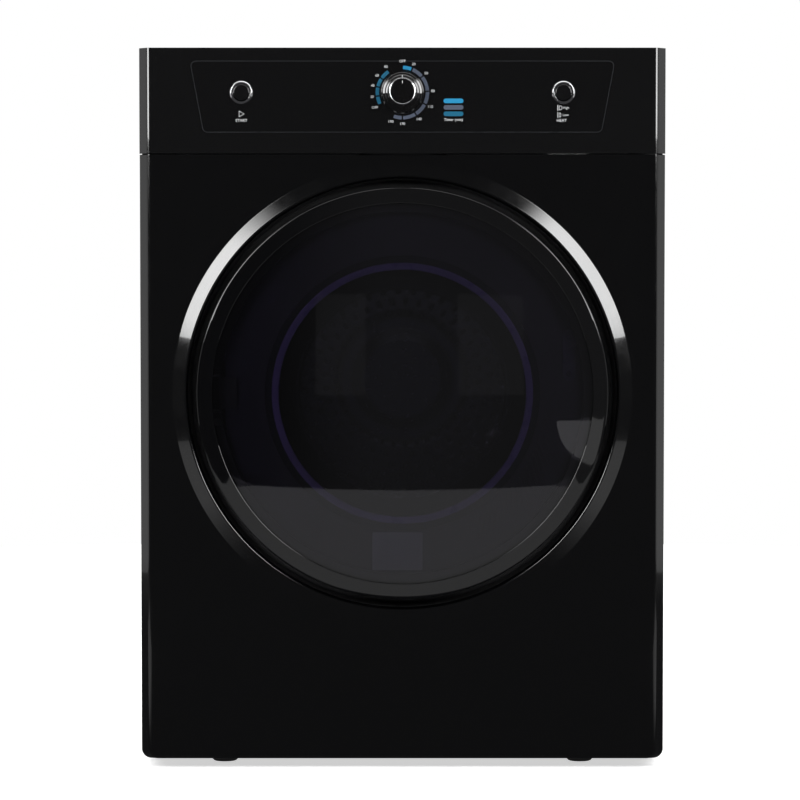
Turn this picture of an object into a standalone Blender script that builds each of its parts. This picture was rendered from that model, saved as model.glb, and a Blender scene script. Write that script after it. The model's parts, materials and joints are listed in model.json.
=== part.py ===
"""Front-loading vented tumble dryer, 595 mm wide, as separate parts. Metres, +Z up, front faces -Y."""

import math

import bmesh
import bpy
from mathutils import Vector

# Cabinet
WIDTH = 0.595
HEIGHT = 0.817
CABINET_Z = 0.010  # underside of the cabinet above the floor
SEAM_Z = 0.698  # joint between the front panel and the console
FACE_Y = -0.240  # flat face of the front panel
FRONT_BACK_Y = -0.200  # rear edge of the front panel's and the console's side returns
REAR_Y = 0.2565  # outer face of the rear panel
BOX_Y = 0.276  # end of the vent collar, and the crown of the door at -BOX_Y
SHEET = 0.0012
GAP = 0.0005
HALF = WIDTH / 2

# Drum and door share one horizontal axis, parallel to Y
AXIS_Z = 0.427
DRUM_R = 0.275
DRUM_FRONT_Y = -0.1405
DRUM_REAR_Y = 0.2230
LIFTER_HEIGHT = 0.042
THROAT_R = 0.166

# Door and the pressed ring around it
DOOR_R = 0.233
WINDOW_R = 0.215
DOME_R = 1.195  # spherical radius of the door's face
WELL_R = 0.2415  # wall of the dish that the door sits in
RING_R = 0.2608  # outer edge of the raised ring
RING_HEIGHT = 0.007
EDGE_BEVEL = ((0.0, 0.0108), (0.0008, 0.0088), (0.0075, 0.0023), (0.0130, 0.0))  # (inset, depth)
WELL_DEPTH = 0.024
STEP_DEPTH = 0.015
HINGE_X = -0.218
HINGE_Y = FACE_Y - 0.005
BOWL_R = 0.1425

# Controls
CONTROL_Z = 0.7665
BUTTON_X = 0.1815
CONSOLE_Y = FACE_Y - 0.003
CONSOLE_WALL = 0.0032
FASCIA_RECESS = 0.0018

# Drive
MOTOR_X = 0.180
MOTOR_Z = 0.088
MOTOR_R = 0.055
SHAFT_R = 0.005
PULLEY_R = 0.0090
BELT_Y = 0.073
BELT_WIDTH = 0.009
BELT_THICKNESS = 0.002
IDLER_X = 0.116
IDLER_Z = 0.092
IDLER_R = 0.016
IDLER_PIVOT = (0.150, 0.030)
ROLLER_R = 0.020
ROLLER_ANGLE = math.radians(50)
FAN_R = 0.058
VENT_X = -0.090
VENT_Z = 0.094
VENT_R = 0.050

# Lint filter
FILTER_HALF = 0.082
FILTER_Y = -0.1695
FILTER_THICKNESS = 0.012
FILTER_BOTTOM = 0.150

FOOT_X = 0.205
FOOT_FRONT_Y = -0.182
FOOT_REAR_Y = 0.215

BIG, MID, SMALL = 40, 20, 12  # sides of large, middle and small round parts


def clear_scene():
    for old in list(bpy.data.objects):
        bpy.data.objects.remove(old, do_unlink=True)


def material(name, colour, roughness, metallic=0.0):
    made = bpy.data.materials.new(name)
    made.use_nodes = True
    shader = made.node_tree.nodes["Principled BSDF"]
    shader.inputs["Base Color"].default_value = (*colour, 1.0)
    shader.inputs["Roughness"].default_value = roughness
    shader.inputs["Metallic"].default_value = metallic
    return made


def finish(name, shape, look, origin=(0.0, 0.0, 0.0), outward=True):
    """Turns a bmesh into a named object whose origin is the given point."""
    if outward:
        bmesh.ops.recalc_face_normals(shape, faces=shape.faces)
    bmesh.ops.translate(shape, verts=shape.verts, vec=-Vector(origin))
    mesh = bpy.data.meshes.new(name)
    shape.to_mesh(mesh)
    shape.free()
    mesh.shade_smooth()
    mesh.set_sharp_from_angle(angle=math.radians(35))
    mesh.materials.append(look)
    made = bpy.data.objects.new(name, mesh)
    made.location = origin
    bpy.context.scene.collection.objects.link(made)
    return made


def arc(centre, radius, start, end, steps):
    """Points on an arc, angles in degrees, both ends included."""
    turns = [math.radians(start + (end - start) * k / steps) for k in range(steps + 1)]
    return [(centre[0] + radius * math.cos(t), centre[1] + radius * math.sin(t)) for t in turns]


def placed(across, up, along, axis):
    """A point from its place across, up and along one axis: X and Z for Y, Y and Z for X, X and Y for Z."""
    return {"X": (along, across, up), "Y": (across, along, up), "Z": (across, up, along)}[axis]


def join_loops(shape, loops):
    """Quads between successive loops of vertices, each loop closed."""
    for first, second in zip(loops, loops[1:]):
        count = len(first)
        for k in range(count):
            n = (k + 1) % count
            shape.faces.new((first[k], first[n], second[n], second[k]))


def prism(outline, low, high, axis="Y"):
    shape = bmesh.new()
    ends = [[shape.verts.new(placed(a, b, c, axis)) for a, b in outline] for c in (low, high)]
    join_loops(shape, ends)
    shape.faces.new(ends[0])
    shape.faces.new(ends[1])
    return shape


def block(low, high):
    outline = [(low[0], low[2]), (high[0], low[2]), (high[0], high[2]), (low[0], high[2])]
    return prism(outline, low[1], high[1])


def lathe(profile, centre=(0.0, AXIS_Z), sides=BIG, axis="Y"):
    """Turns a closed profile of (radius, place along the axis) about an axis through centre."""
    shape = bmesh.new()
    rings = []
    for radius, along in profile:
        if radius == 0:
            rings.append([shape.verts.new(placed(*centre, along, axis))])
            continue
        turns = [2 * math.pi * k / sides for k in range(sides)]
        rings.append([
            shape.verts.new(
                placed(centre[0] + radius * math.cos(t), centre[1] + radius * math.sin(t), along, axis)
            )
            for t in turns
        ])
    for first, second in zip(rings, rings[1:] + rings[:1]):
        if len(first) == 1 and len(second) == 1:
            continue
        for k in range(sides):
            n = (k + 1) % sides
            if len(first) == 1:
                shape.faces.new((first[0], second[n], second[k]))
            elif len(second) == 1:
                shape.faces.new((first[k], first[n], second[0]))
            else:
                shape.faces.new((first[k], first[n], second[n], second[k]))
    return shape


def rod(radius, low, high, centre, sides=SMALL, axis="Y"):
    return lathe([(0, low), (radius, low), (radius, high), (0, high)], centre, sides, axis)


def ring(inner, outer, low, high, centre=(0.0, AXIS_Z), sides=BIG, axis="Y"):
    return lathe([(inner, low), (outer, low), (outer, high), (inner, high)], centre, sides, axis)


def mirrored(shape):
    """Reflects a shape from the right-hand side to the left."""
    for vert in shape.verts:
        vert.co.x = -vert.co.x
    return shape


def combine(target, kind, tools):
    """Cuts closed shapes from the target, or adds them to it. The shapes stay apart from each other."""
    merged = bpy.data.meshes.new(f"{target.name}_{kind}")
    shape = bmesh.new()
    for tool in tools:
        bmesh.ops.recalc_face_normals(tool, faces=tool.faces)
        part = bpy.data.meshes.new("part")
        tool.to_mesh(part)
        tool.free()
        shape.from_mesh(part)
        bpy.data.meshes.remove(part)
    bmesh.ops.translate(shape, verts=shape.verts, vec=-target.location)
    shape.to_mesh(merged)
    shape.free()
    guide = bpy.data.objects.new(f"{target.name}_{kind}_guide", merged)
    guide.location = target.location
    guide.hide_render = True
    guide.display_type = "WIRE"
    bpy.context.scene.collection.objects.link(guide)
    step = target.modifiers.new(kind, "BOOLEAN")
    step.operation = kind
    step.object = guide
    return target


def offset_outline(outline, distance):
    """Moves each side of a counter-clockwise outline inwards by the distance."""
    moved = []
    for k, here in enumerate(outline):
        before = Vector(outline[k - 1])
        after = Vector(outline[(k + 1) % len(outline)])
        here = Vector(here)
        one = (here - before).normalized()
        two = (after - here).normalized()
        normal = Vector((-one.y - two.y, one.x + two.x)).normalized()
        reach = distance / max(0.3, normal.dot(Vector((-one.y, one.x))))
        moved.append(tuple(here + normal * reach))
    return moved


def ribbon(path, width):
    """Outline of a bent strip along an open path."""
    left, right = [], []
    for k, here in enumerate(path):
        one = Vector(here) - Vector(path[max(k - 1, 0)])
        two = Vector(path[min(k + 1, len(path) - 1)]) - Vector(here)
        one = (one if one.length else two).normalized()
        two = (two if two.length else one).normalized()
        normal = Vector((-one.y - two.y, one.x + two.x)).normalized()
        reach = width / 2 / normal.dot(Vector((-one.y, one.x)))
        left.append(tuple(Vector(here) + normal * reach))
        right.append(tuple(Vector(here) - normal * reach))
    return left + right[::-1]


def sheet_panel(name, loops, look):
    """A formed sheet: successive loops from its edge inwards, thickened away from the visible side."""
    shape = bmesh.new()
    made = [[shape.verts.new(point) for point in loop] for loop in loops]
    join_loops(shape, made)
    panel = finish(name, shape, look, outward=False)
    thick = panel.modifiers.new("sheet", "SOLIDIFY")
    thick.thickness = SHEET
    thick.offset = -1
    thick.use_even_offset = True
    return panel


def circle_loop(radius, y):
    turns = [2 * math.pi * k / BIG for k in range(BIG)]
    return [(radius * math.cos(t), y, AXIS_Z + radius * math.sin(t)) for t in turns]


def frame_loop(half_width, low, high, y, low_corner=0.0, high_corner=0.0):
    """A rectangle around the drum's axis with one point on each ray of the circles, and round corners."""
    loop = []
    for k in range(BIG):
        turn = 2 * math.pi * k / BIG
        across, up = math.cos(turn), math.sin(turn)
        limit = (high if up > 0 else low) - AXIS_Z
        reach = half_width / abs(across) if abs(across) > 1e-9 else 9.0
        if abs(up) > 1e-9:
            reach = min(reach, limit / up)
        loop.append([reach * across, y, AXIS_Z + reach * up])
    for side in (1, -1):
        for z, radius, way in ((high, high_corner, 1), (low, low_corner, -1)):
            turn = math.atan2(z - AXIS_Z, side * half_width) % (2 * math.pi)
            nearest = round(turn / (2 * math.pi) * BIG)
            for step in (-1, 0, 1):
                bend = math.radians(45 * (1 + step * side * way))
                x = side * (half_width - radius * (1 - math.cos(bend)))
                loop[(nearest + step) % BIG] = [x, y, z - way * radius * (1 - math.sin(bend))]
    return [tuple(point) for point in loop]


def dome_y(radius, depth=0.0):
    """Place of the door's spherical face at a radius, or of a surface the given depth behind it."""
    return depth - BOX_Y + DOME_R - math.sqrt(DOME_R**2 - radius**2)


def make_looks():
    return {
        "enamel": material("black_enamel", (0.006, 0.006, 0.007), 0.16),
        "side": material("satin_black_enamel", (0.02, 0.02, 0.021), 0.4),
        "zinc": material("zinc_plated_steel", (0.55, 0.56, 0.57), 0.4, 1.0),
        "gloss": material("gloss_black_plastic", (0.005, 0.005, 0.006), 0.08),
        "dark": material("dark_grey_plastic", (0.03, 0.03, 0.032), 0.5),
        "tint": material("smoked_window", (0.01, 0.01, 0.016), 0.04),
        "glass": material("bowl_glass", (0.3, 0.3, 0.36), 0.03),
        "violet": material("dark_violet_plastic", (0.02, 0.016, 0.05), 0.3),
        "chrome": material("chrome", (0.8, 0.8, 0.82), 0.08, 1.0),
        "felt": material("grey_felt", (0.16, 0.15, 0.14), 0.95),
        "rubber": material("black_rubber", (0.015, 0.015, 0.015), 0.8),
        "drum": material("stainless_steel", (0.6, 0.6, 0.6), 0.25, 1.0),
        "bronze": material("sintered_bronze", (0.5, 0.33, 0.14), 0.4, 1.0),
        "grey": material("light_grey_plastic", (0.4, 0.4, 0.4), 0.5),
        "heater": material("mica", (0.5, 0.4, 0.28), 0.6),
    }


def make_base_pan(looks):
    outer = [(-0.2955, -0.1975), (0.2955, -0.1975), (0.2955, 0.2530), (-0.2955, 0.2530)]
    pan = finish("base_pan", prism(outer, CABINET_Z + GAP, 0.040, "Z"), looks["zinc"])
    hollow = prism(offset_outline(outer, 0.0015), 0.0120, 0.050, "Z")
    combine(pan, "DIFFERENCE", [hollow])
    combine(pan, "DIFFERENCE", [rod(0.0052, 0.005, 0.020, place, SMALL, "Z") for place in foot_places()])


def foot_places():
    return [(x, y) for y in (FOOT_FRONT_Y, FOOT_REAR_Y) for x in (-FOOT_X, FOOT_X)]


def make_feet(looks):
    names = ("foot_front_left", "foot_front_right", "foot_rear_left", "foot_rear_right")
    for name, centre in zip(names, foot_places()):
        profile = [
            (0, 0), (0.0132, 0), (0.0147, 0.0020), (0.0147, 0.0085), (0.0045, 0.0098), (0.0045, 0.028),
            (0, 0.028),
        ]
        finish(name, lathe(profile, centre, SMALL, "Z"), looks["rubber"], (*centre, 0.0098))


def make_cabinet_sides(looks):
    front = FRONT_BACK_Y + GAP
    path = [
        (HALF - 0.014, front + SHEET / 2), (HALF - SHEET / 2, front + SHEET / 2),
        (HALF - SHEET / 2, REAR_Y - 0.0021), (HALF - 0.013, REAR_Y - 0.0021),
    ]
    for name, mirror in (("right_side_panel", False), ("left_side_panel", True)):
        shape = prism(ribbon(path, SHEET), CABINET_Z + GAP, HEIGHT - 0.0210, "Z")
        finish(name, mirrored(shape) if mirror else shape, looks["side"])


def make_top_panel(looks):
    low, high = FRONT_BACK_Y + GAP, REAR_Y + 0.0005
    top = finish("top_panel", block((-HALF, low, HEIGHT - 0.0205), (HALF, high, HEIGHT)), looks["enamel"])
    corner = HALF - SHEET
    combine(top, "DIFFERENCE", [block((-corner, low + SHEET, 0.75), (corner, high - SHEET, HEIGHT - SHEET))])


def make_rear_panel(looks):
    panel = finish(
        "rear_panel",
        block((-0.2955, REAR_Y - SHEET, 0.012), (0.2955, REAR_Y, HEIGHT - 0.0215)),
        looks["zinc"],
    )
    low, high = REAR_Y - 0.005, REAR_Y + 0.005
    holes = [rod(VENT_R + 0.0008, low, high, (VENT_X, VENT_Z), BIG)]
    holes.append(rod(0.0095, low, high, (-0.235, 0.745), SMALL))
    for x, z in arc((0, AXIS_Z), 0.105, 30, 330, 5):
        holes.append(rod(0.028, low, high, (x, z), SMALL))
    combine(panel, "DIFFERENCE", holes)


def make_front_panel(looks):
    low, high = CABINET_Z, SEAM_Z - 0.0008
    loops = [frame_loop(HALF, low, high, FRONT_BACK_Y, 0.011, 0.002)]
    for inset, depth in EDGE_BEVEL:
        loops.append(
            frame_loop(HALF - inset, low + 0.1 * inset, high - 0.02 * inset, FACE_Y + depth, 0.011, 0.002)
        )
    for radius, depth in (
        (RING_R, 0), (0.2570, -0.0019), (0.2475, -0.0066), (0.2457, -RING_HEIGHT), (0.2437, -0.0058),
        (0.2425, -0.0030), (WELL_R, 0.0200), (0.2390, WELL_DEPTH), (0.2050, WELL_DEPTH),
        (0.2000, STEP_DEPTH), (0.1710, STEP_DEPTH), (0.1690, 0.0168), (0.1690, 0.0220),
    ):
        loops.append(circle_loop(radius, FACE_Y + depth))
    panel = sheet_panel("front_panel", loops, looks["enamel"])
    slot = block((0.1790, FACE_Y, 0.4530), (0.1910, FACE_Y + 0.03, 0.4880))
    combine(panel, "DIFFERENCE", [slot])


def fascia_outline(grow=0.0):
    """The control fascia: wider at its top, with round corners, counter-clockwise."""
    top, bottom, corner = 0.8025 + grow, 0.7215 - grow, 0.006
    wide, narrow = 0.240 + grow, 0.225 + grow
    return [
        (-narrow + corner, bottom), (narrow - corner, bottom), (narrow - 0.0012, bottom + 0.0022),
        (narrow + 0.0011, bottom + corner), (wide - 0.0011, top - corner), (wide - 0.0022, top - 0.0016),
        (wide - corner, top), (-wide + corner, top), (-wide + 0.0022, top - 0.0016),
        (-wide + 0.0011, top - corner), (-narrow - 0.0011, bottom + corner),
        (-narrow + 0.0012, bottom + 0.0022),
    ]


def control_holes(low, high):
    """Cutters for the timer's stem and the two buttons."""
    holes = [rod(0.0050, low, high, (0, CONTROL_Z), SMALL)]
    for side in (-1, 1):
        holes.append(rod(0.0118, low, high, (side * BUTTON_X, CONTROL_Z), MID))
    return holes


def make_console(looks):
    """A moulded shell, open at the back, with a shallow recess that holds the fascia."""
    right = [(HALF - inset, CONSOLE_Y + depth) for inset, depth in EDGE_BEVEL]
    outer = [(HALF, FRONT_BACK_Y), *right, *[(-x, y) for x, y in right[::-1]], (-HALF, FRONT_BACK_Y)]
    console = finish("console", prism(outer, SEAM_Z, HEIGHT, "Z"), looks["gloss"])
    side = HALF - CONSOLE_WALL
    bevel = 0.0078
    inner = [
        (side, -0.190), (side, CONSOLE_Y + CONSOLE_WALL + bevel), (side - bevel, CONSOLE_Y + CONSOLE_WALL),
    ]
    inner += [(-x, y) for x, y in inner[::-1]]
    combine(console, "DIFFERENCE", [prism(inner, SEAM_Z + CONSOLE_WALL, HEIGHT - CONSOLE_WALL, "Z")])
    recess = prism(fascia_outline(0.0004), CONSOLE_Y - 0.01, CONSOLE_Y + FASCIA_RECESS)
    combine(console, "DIFFERENCE", [recess])
    combine(console, "DIFFERENCE", control_holes(CONSOLE_Y, CONSOLE_Y + 0.01))
    fascia = finish("console_fascia", prism(fascia_outline(), CONSOLE_Y, CONSOLE_Y + 0.0015), looks["gloss"])
    combine(fascia, "DIFFERENCE", control_holes(CONSOLE_Y - 0.01, CONSOLE_Y + 0.01))


def make_controls(looks):
    front = CONSOLE_Y - 0.0003
    knob = [
        (0, -0.2680), (0.0138, -0.2680), (0.0153, -0.2665), (0.0157, -0.2560), (0.0200, -0.2530),
        (0.0243, -0.2490), (0.0243, front), (0.0042, front), (0.0042, -0.2250), (0, -0.2250),
    ]
    finish("timer_knob", lathe(knob, (0, CONTROL_Z), MID), looks["gloss"], (0, front, CONTROL_Z))
    inside = CONSOLE_Y + CONSOLE_WALL + 0.0004
    timer = finish(
        "timer_unit",
        block((-0.025, inside, CONTROL_Z - 0.025), (0.025, -0.2030, CONTROL_Z + 0.025)),
        looks["grey"],
    )
    combine(timer, "DIFFERENCE", [rod(0.0048, -0.26, -0.2240, (0, CONTROL_Z), SMALL)])
    for name, side in (("start", -1), ("heat", 1)):
        centre = (side * BUTTON_X, CONTROL_Z)
        bezel = [
            (0.0096, -0.2462), (0.0122, -0.2462), (0.0130, -0.2454), (0.0130, front), (0.0112, front),
            (0.0112, -0.2330), (0.0096, -0.2330),
        ]
        finish(f"{name}_bezel", lathe(bezel, centre, MID), looks["chrome"])
        cap = [
            (0, -0.2482), (0.0082, -0.2482), (0.0090, -0.2474), (0.0090, -0.2360), (0.0030, -0.2360),
            (0.0030, -0.2290), (0, -0.2290),
        ]
        finish(f"{name}_button", lathe(cap, centre, SMALL), looks["gloss"], (centre[0], -0.2482, centre[1]))
        low = (centre[0] - 0.0150, inside, centre[1] - 0.0150)
        high = (centre[0] + 0.0150, -0.2100, centre[1] + 0.0150)
        switch = finish(f"{name}_switch", block(low, high), looks["dark"])
        combine(switch, "DIFFERENCE", [rod(0.0120, -0.26, -0.2230, centre, MID)])


def make_door(looks):
    hinge = (HINGE_X, HINGE_Y, AXIS_Z)
    spans = (0.075, 0.150, WINDOW_R)
    face = [(0, dome_y(0))] + [(r, dome_y(r)) for r in spans]
    edge = [(0.2295, dome_y(0.2295)), (0.2325, FACE_Y - 0.0112), (DOOR_R, FACE_Y - 0.0080)]
    skirt = FACE_Y + 0.0005
    inner = [(0.2295, skirt), (0.2295, FACE_Y - 0.0055), (0.2240, FACE_Y - 0.0105)]
    back = [(r, dome_y(r, 0.0035)) for r in spans[::-1]] + [(0, dome_y(0, 0.0035))]
    cover = face + edge + [(DOOR_R, skirt)] + inner + back
    finish("door_cover", lathe(cover), looks["tint"], hinge)
    notch_low = (-0.2300, FACE_Y - 0.0070, AXIS_Z - 0.036)
    notch_high = (-0.2010, FACE_Y + 0.0150, AXIS_Z + 0.036)
    hoop = ring(0.2050, 0.2285, FACE_Y - 0.0040, FACE_Y + 0.0060)
    frame = finish("door_frame", hoop, looks["dark"], hinge)
    combine(frame, "DIFFERENCE", [block(notch_low, notch_high)])
    liner_profile = [
        (0.2285, 0.0065), (0.2285, 0.0105), (0.1590, 0.0105), (0.1575, 0.0270), (0.1550, 0.0270),
        (0.1535, 0.0105), (0.1435, 0.0105), (0.1435, 0.0065),
    ]
    liner = finish("door_liner", lathe([(r, FACE_Y + d) for r, d in liner_profile]), looks["dark"], hinge)
    combine(liner, "DIFFERENCE", [block(notch_low, notch_high)])
    bowl_profile = [
        (0.1560, 0.0025), (0.1560, 0.0061), (BOWL_R, 0.0061), (0.1260, 0.0480), (0.1180, 0.0560),
        (0.0600, 0.0595), (0, 0.0600), (0, 0.0560), (0.0600, 0.0555), (0.1150, 0.0520), (0.1220, 0.0450),
        (0.1385, 0.0060), (0.1385, 0.0025),
    ]
    finish("door_bowl", lathe([(r, FACE_Y + d) for r, d in bowl_profile]), looks["glass"], hinge)
    finish("bowl_retainer", ring(0.1400, 0.1480, FACE_Y - 0.0015, FACE_Y + 0.0021), looks["violet"], hinge)
    finish("door_seal", ring(0.1720, 0.1800, FACE_Y + 0.0109, FACE_Y + 0.0146), looks["rubber"], hinge)
    hook = [
        (0.0109, 0.0), (0.0400, 0.0), (0.0400, 0.0120), (0.0340, 0.0165), (0.0340, 0.0110), (0.0109, 0.0150),
    ]
    outline = [(FACE_Y + d, 0.4625 + z) for d, z in hook]
    finish("latch_hook", prism(outline, 0.1825, 0.1865, "X"), looks["zinc"], hinge)


def make_hinge(looks):
    """Fixed bracket with two curved arms and a pin, and the door's leaf on a barrel between the arms."""
    pin = (HINGE_X, HINGE_Y)
    floor = FACE_Y + WELL_DEPTH - 0.0003
    path = [(0, -0.0050), (0.0110, -0.0005), (0.0138, 0.0110), (0.0093, WELL_DEPTH - 0.0015)]
    strip = [(HINGE_X + x, FACE_Y + y) for x, y in path]
    plate_low = (-0.2140, floor - 0.0020, 0.3950)
    bracket = finish("door_hinge_bracket", block(plate_low, (-0.2062, floor, 0.4590)), looks["zinc"])
    arms, eyes = [], [rod(0.0024, 0.3960, 0.4580, pin, SMALL, "Z")]
    for z in (0.3985, 0.4485):
        arms.append(prism(ribbon(strip, 0.0046), z, z + 0.0070, "Z"))
        eyes.append(rod(0.0050, z - 0.0005, z + 0.0075, pin, SMALL, "Z"))
    combine(bracket, "UNION", arms)
    combine(bracket, "UNION", eyes[1:])
    bracket.modifiers[-1].name = "eyes"
    combine(bracket, "UNION", eyes[:1])
    bracket.modifiers[-1].name = "pin"
    strap = [(0.0010, -0.0080), (0.0060, -0.0060), (0.0100, 0.0032), (0.0300, 0.0032), (0.0300, 0.0060),
             (0.0080, 0.0060), (0.0032, -0.0035), (0.0010, -0.0045)]
    outline = [(HINGE_X + x, FACE_Y + y) for x, y in strap]
    leaf = finish("hinge_leaf", prism(outline, 0.4092, 0.4448, "Z"), looks["zinc"], (*pin, AXIS_Z))
    combine(leaf, "UNION", [rod(0.0058, 0.4088, 0.4452, pin, SMALL, "Z")])
    combine(leaf, "DIFFERENCE", [rod(0.0030, 0.40, 0.46, pin, SMALL, "Z")])


def make_door_catch(looks):
    body = block((0.1760, FACE_Y + 0.0256, 0.4450), (0.1960, -0.1920, 0.4960))
    catch = finish("door_catch", body, looks["dark"])
    combine(catch, "DIFFERENCE", [block((0.1795, FACE_Y + 0.01, 0.4525), (0.1915, FACE_Y + 0.0440, 0.4885))])


def make_drum(looks):
    centre = (0.0, 0.0, AXIS_Z)
    skin = 0.0012
    front, rear = DRUM_FRONT_Y, DRUM_REAR_Y
    shell = [
        (0.2000, front), (0.2650, front), (DRUM_R, front + 0.0075), (DRUM_R, rear), (DRUM_R - skin, rear),
        (DRUM_R - skin, front + 0.0080), (0.2645, front + skin), (0.2000, front + skin),
    ]
    finish("drum_shell", lathe(shell), looks["drum"], centre)
    wall = [
        (0, rear - 0.0020), (0.050, rear - 0.0020), (0.070, rear + 0.0004), (0.2745, rear + 0.0004),
        (0.2745, rear + 0.0030), (0, rear + 0.0030),
    ]
    finish("drum_rear_wall", lathe(wall), looks["drum"], centre)
    shaft = [
        (0, rear + 0.0034), (0.045, rear + 0.0034), (0.045, rear + 0.0070), (0.0095, rear + 0.0090),
        (0.0095, 0.2520), (0, 0.2520),
    ]
    finish("drum_shaft", lathe(shaft, sides=MID), looks["zinc"], centre)
    base = DRUM_R - 0.0040
    section = [
        (-0.026, -base), (0.026, -base), (0.015, -base + 0.028), (0.008, -base + LIFTER_HEIGHT - 0.003),
        (0.0, -base + LIFTER_HEIGHT), (-0.008, -base + LIFTER_HEIGHT - 0.003), (-0.015, -base + 0.028),
    ]
    for number in range(3):
        turn = 2 * math.pi * number / 3
        cos, sin = math.cos(turn), math.sin(turn)
        outline = [(x * cos - z * sin, AXIS_Z + x * sin + z * cos) for x, z in section]
        name = f"drum_lifter_{number + 1}"
        finish(name, prism(outline, front + 0.020, rear - 0.010), looks["grey"], centre)


def make_bearings_and_seals(looks):
    finish("drum_bearing", ring(0.0099, 0.0160, 0.2390, 0.2540, sides=MID), looks["bronze"])
    bar = finish(
        "bearing_bracket",
        block((-0.150, 0.2440, AXIS_Z - 0.026), (0.150, 0.2530, AXIS_Z + 0.026)),
        looks["zinc"],
    )
    combine(bar, "DIFFERENCE", [rod(0.0165, 0.24, 0.26, (0, AXIS_Z), MID)])
    finish("rear_drum_seal", ring(0.2380, 0.2520, DRUM_REAR_Y + 0.0036, REAR_Y - 0.0020), looks["felt"])
    finish("front_drum_seal", ring(0.2080, 0.2280, -0.1502, DRUM_FRONT_Y - 0.0005), looks["felt"])


def make_bulkhead(looks):
    loops = [frame_loop(0.2950, 0.045, 0.690, -0.1520)]
    lip = ((0.240, -0.1520), (THROAT_R + 0.004, -0.1520), (THROAT_R, -0.1560), (THROAT_R, -0.2165))
    for radius, y in lip:
        loops.append(circle_loop(radius, y))
    bulkhead = sheet_panel("front_bulkhead", loops, looks["zinc"])
    reach = FILTER_THICKNESS / 2 + 0.0025
    slot = block(
        (-FILTER_HALF - 0.002, FILTER_Y - reach, 0.235), (FILTER_HALF + 0.002, FILTER_Y + reach, 0.310)
    )
    fan_hole = rod(0.046, -0.16, -0.14, (MOTOR_X, MOTOR_Z), MID)
    combine(bulkhead, "DIFFERENCE", [slot, fan_hole])


def make_filter(looks):
    """A framed screen that drops into a slot in the throat; its top edge follows the throat's curve."""
    top = THROAT_R - 0.0005
    reach = math.degrees(math.asin(FILTER_HALF / top))
    curve = arc((0, AXIS_Z), top, 270 + reach, 270 - reach, 8)
    outline = [(-FILTER_HALF + 0.01, FILTER_BOTTOM), (FILTER_HALF - 0.01, FILTER_BOTTOM), *curve]
    low, high = FILTER_Y - FILTER_THICKNESS / 2, FILTER_Y + FILTER_THICKNESS / 2
    origin = (0, FILTER_Y, FILTER_BOTTOM)
    screen = finish("lint_filter", prism(outline, low, high), looks["grey"], origin)
    windows = []
    for x in (-0.048, 0.0, 0.048):
        windows.append(block((x - 0.021, -0.19, FILTER_BOTTOM + 0.010), (x + 0.021, -0.15, 0.236)))
    combine(screen, "DIFFERENCE", windows)


def make_filter_duct(looks):
    """A flat duct from the filter's slot down to the fan's inlet, open at the top under the throat."""
    top = THROAT_R + SHEET + 0.0022
    reach = math.degrees(math.asin(0.092 / top))
    curve = arc((0, AXIS_Z), top, 270 + reach, 270 - reach, 8)
    outline = [(-0.092, 0.120), (0.100, 0.030), (0.240, 0.030), (0.240, 0.130), (0.150, 0.190), *curve]
    duct = finish("filter_duct", prism(outline, -0.1835, -0.1535), looks["dark"])
    lower = [(0.100, 0.030), (0.240, 0.030), (0.240, 0.130), (0.150, 0.190)]
    inner = offset_outline([(-0.092, 0.120), *lower, curve[0], curve[-1]], 0.002)
    opened = [*inner[:-2], (inner[-2][0], AXIS_Z), (inner[-1][0], AXIS_Z)]
    combine(duct, "DIFFERENCE", [prism(opened, -0.1815, -0.1555)])
    combine(duct, "DIFFERENCE", [rod(0.042, -0.160, -0.150, (MOTOR_X, MOTOR_Z), MID)])


def make_fan(looks):
    centre = (MOTOR_X, MOTOR_Z)
    scroll = arc(centre, 0.068, -90, 180, 14)
    outline = [(0.060, 0.020), *scroll, (0.060, 0.086)]
    housing = finish("fan_housing", prism(outline, -0.1498, -0.0930), looks["grey"])
    inner = offset_outline(outline, 0.002)
    inner[0] = (0.050, inner[0][1])
    inner[-1] = (0.050, inner[-1][1])
    combine(housing, "DIFFERENCE", [prism(inner, -0.1478, -0.0950)])
    holes = [rod(0.042, -0.160, -0.140, centre, MID), rod(0.0090, -0.100, -0.090, centre, SMALL)]
    combine(housing, "DIFFERENCE", holes)
    blades, hub, bore_radius = 12, 0.022, SHAFT_R + 0.0004
    corners = ((-0.135, hub), (-0.075, FAN_R), (0.075, FAN_R), (0.135, hub))  # share of the pitch, radius
    outer, bore = [], []
    for k in range(blades):
        for share, radius in corners:
            turn = 2 * math.pi * (k + share) / blades
            outer.append((centre[0] + radius * math.cos(turn), centre[1] + radius * math.sin(turn)))
            bore.append((centre[0] + bore_radius * math.cos(turn), centre[1] + bore_radius * math.sin(turn)))
    wheel = bmesh.new()
    rows = []
    for points, y in ((outer, -0.1380), (outer, -0.1000), (bore, -0.1000), (bore, -0.1380)):
        rows.append([wheel.verts.new((x, y, z)) for x, z in points])
    join_loops(wheel, rows + rows[:1])
    finish("fan_impeller", wheel, looks["dark"], (*centre[:1], -0.1, centre[1]))


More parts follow.
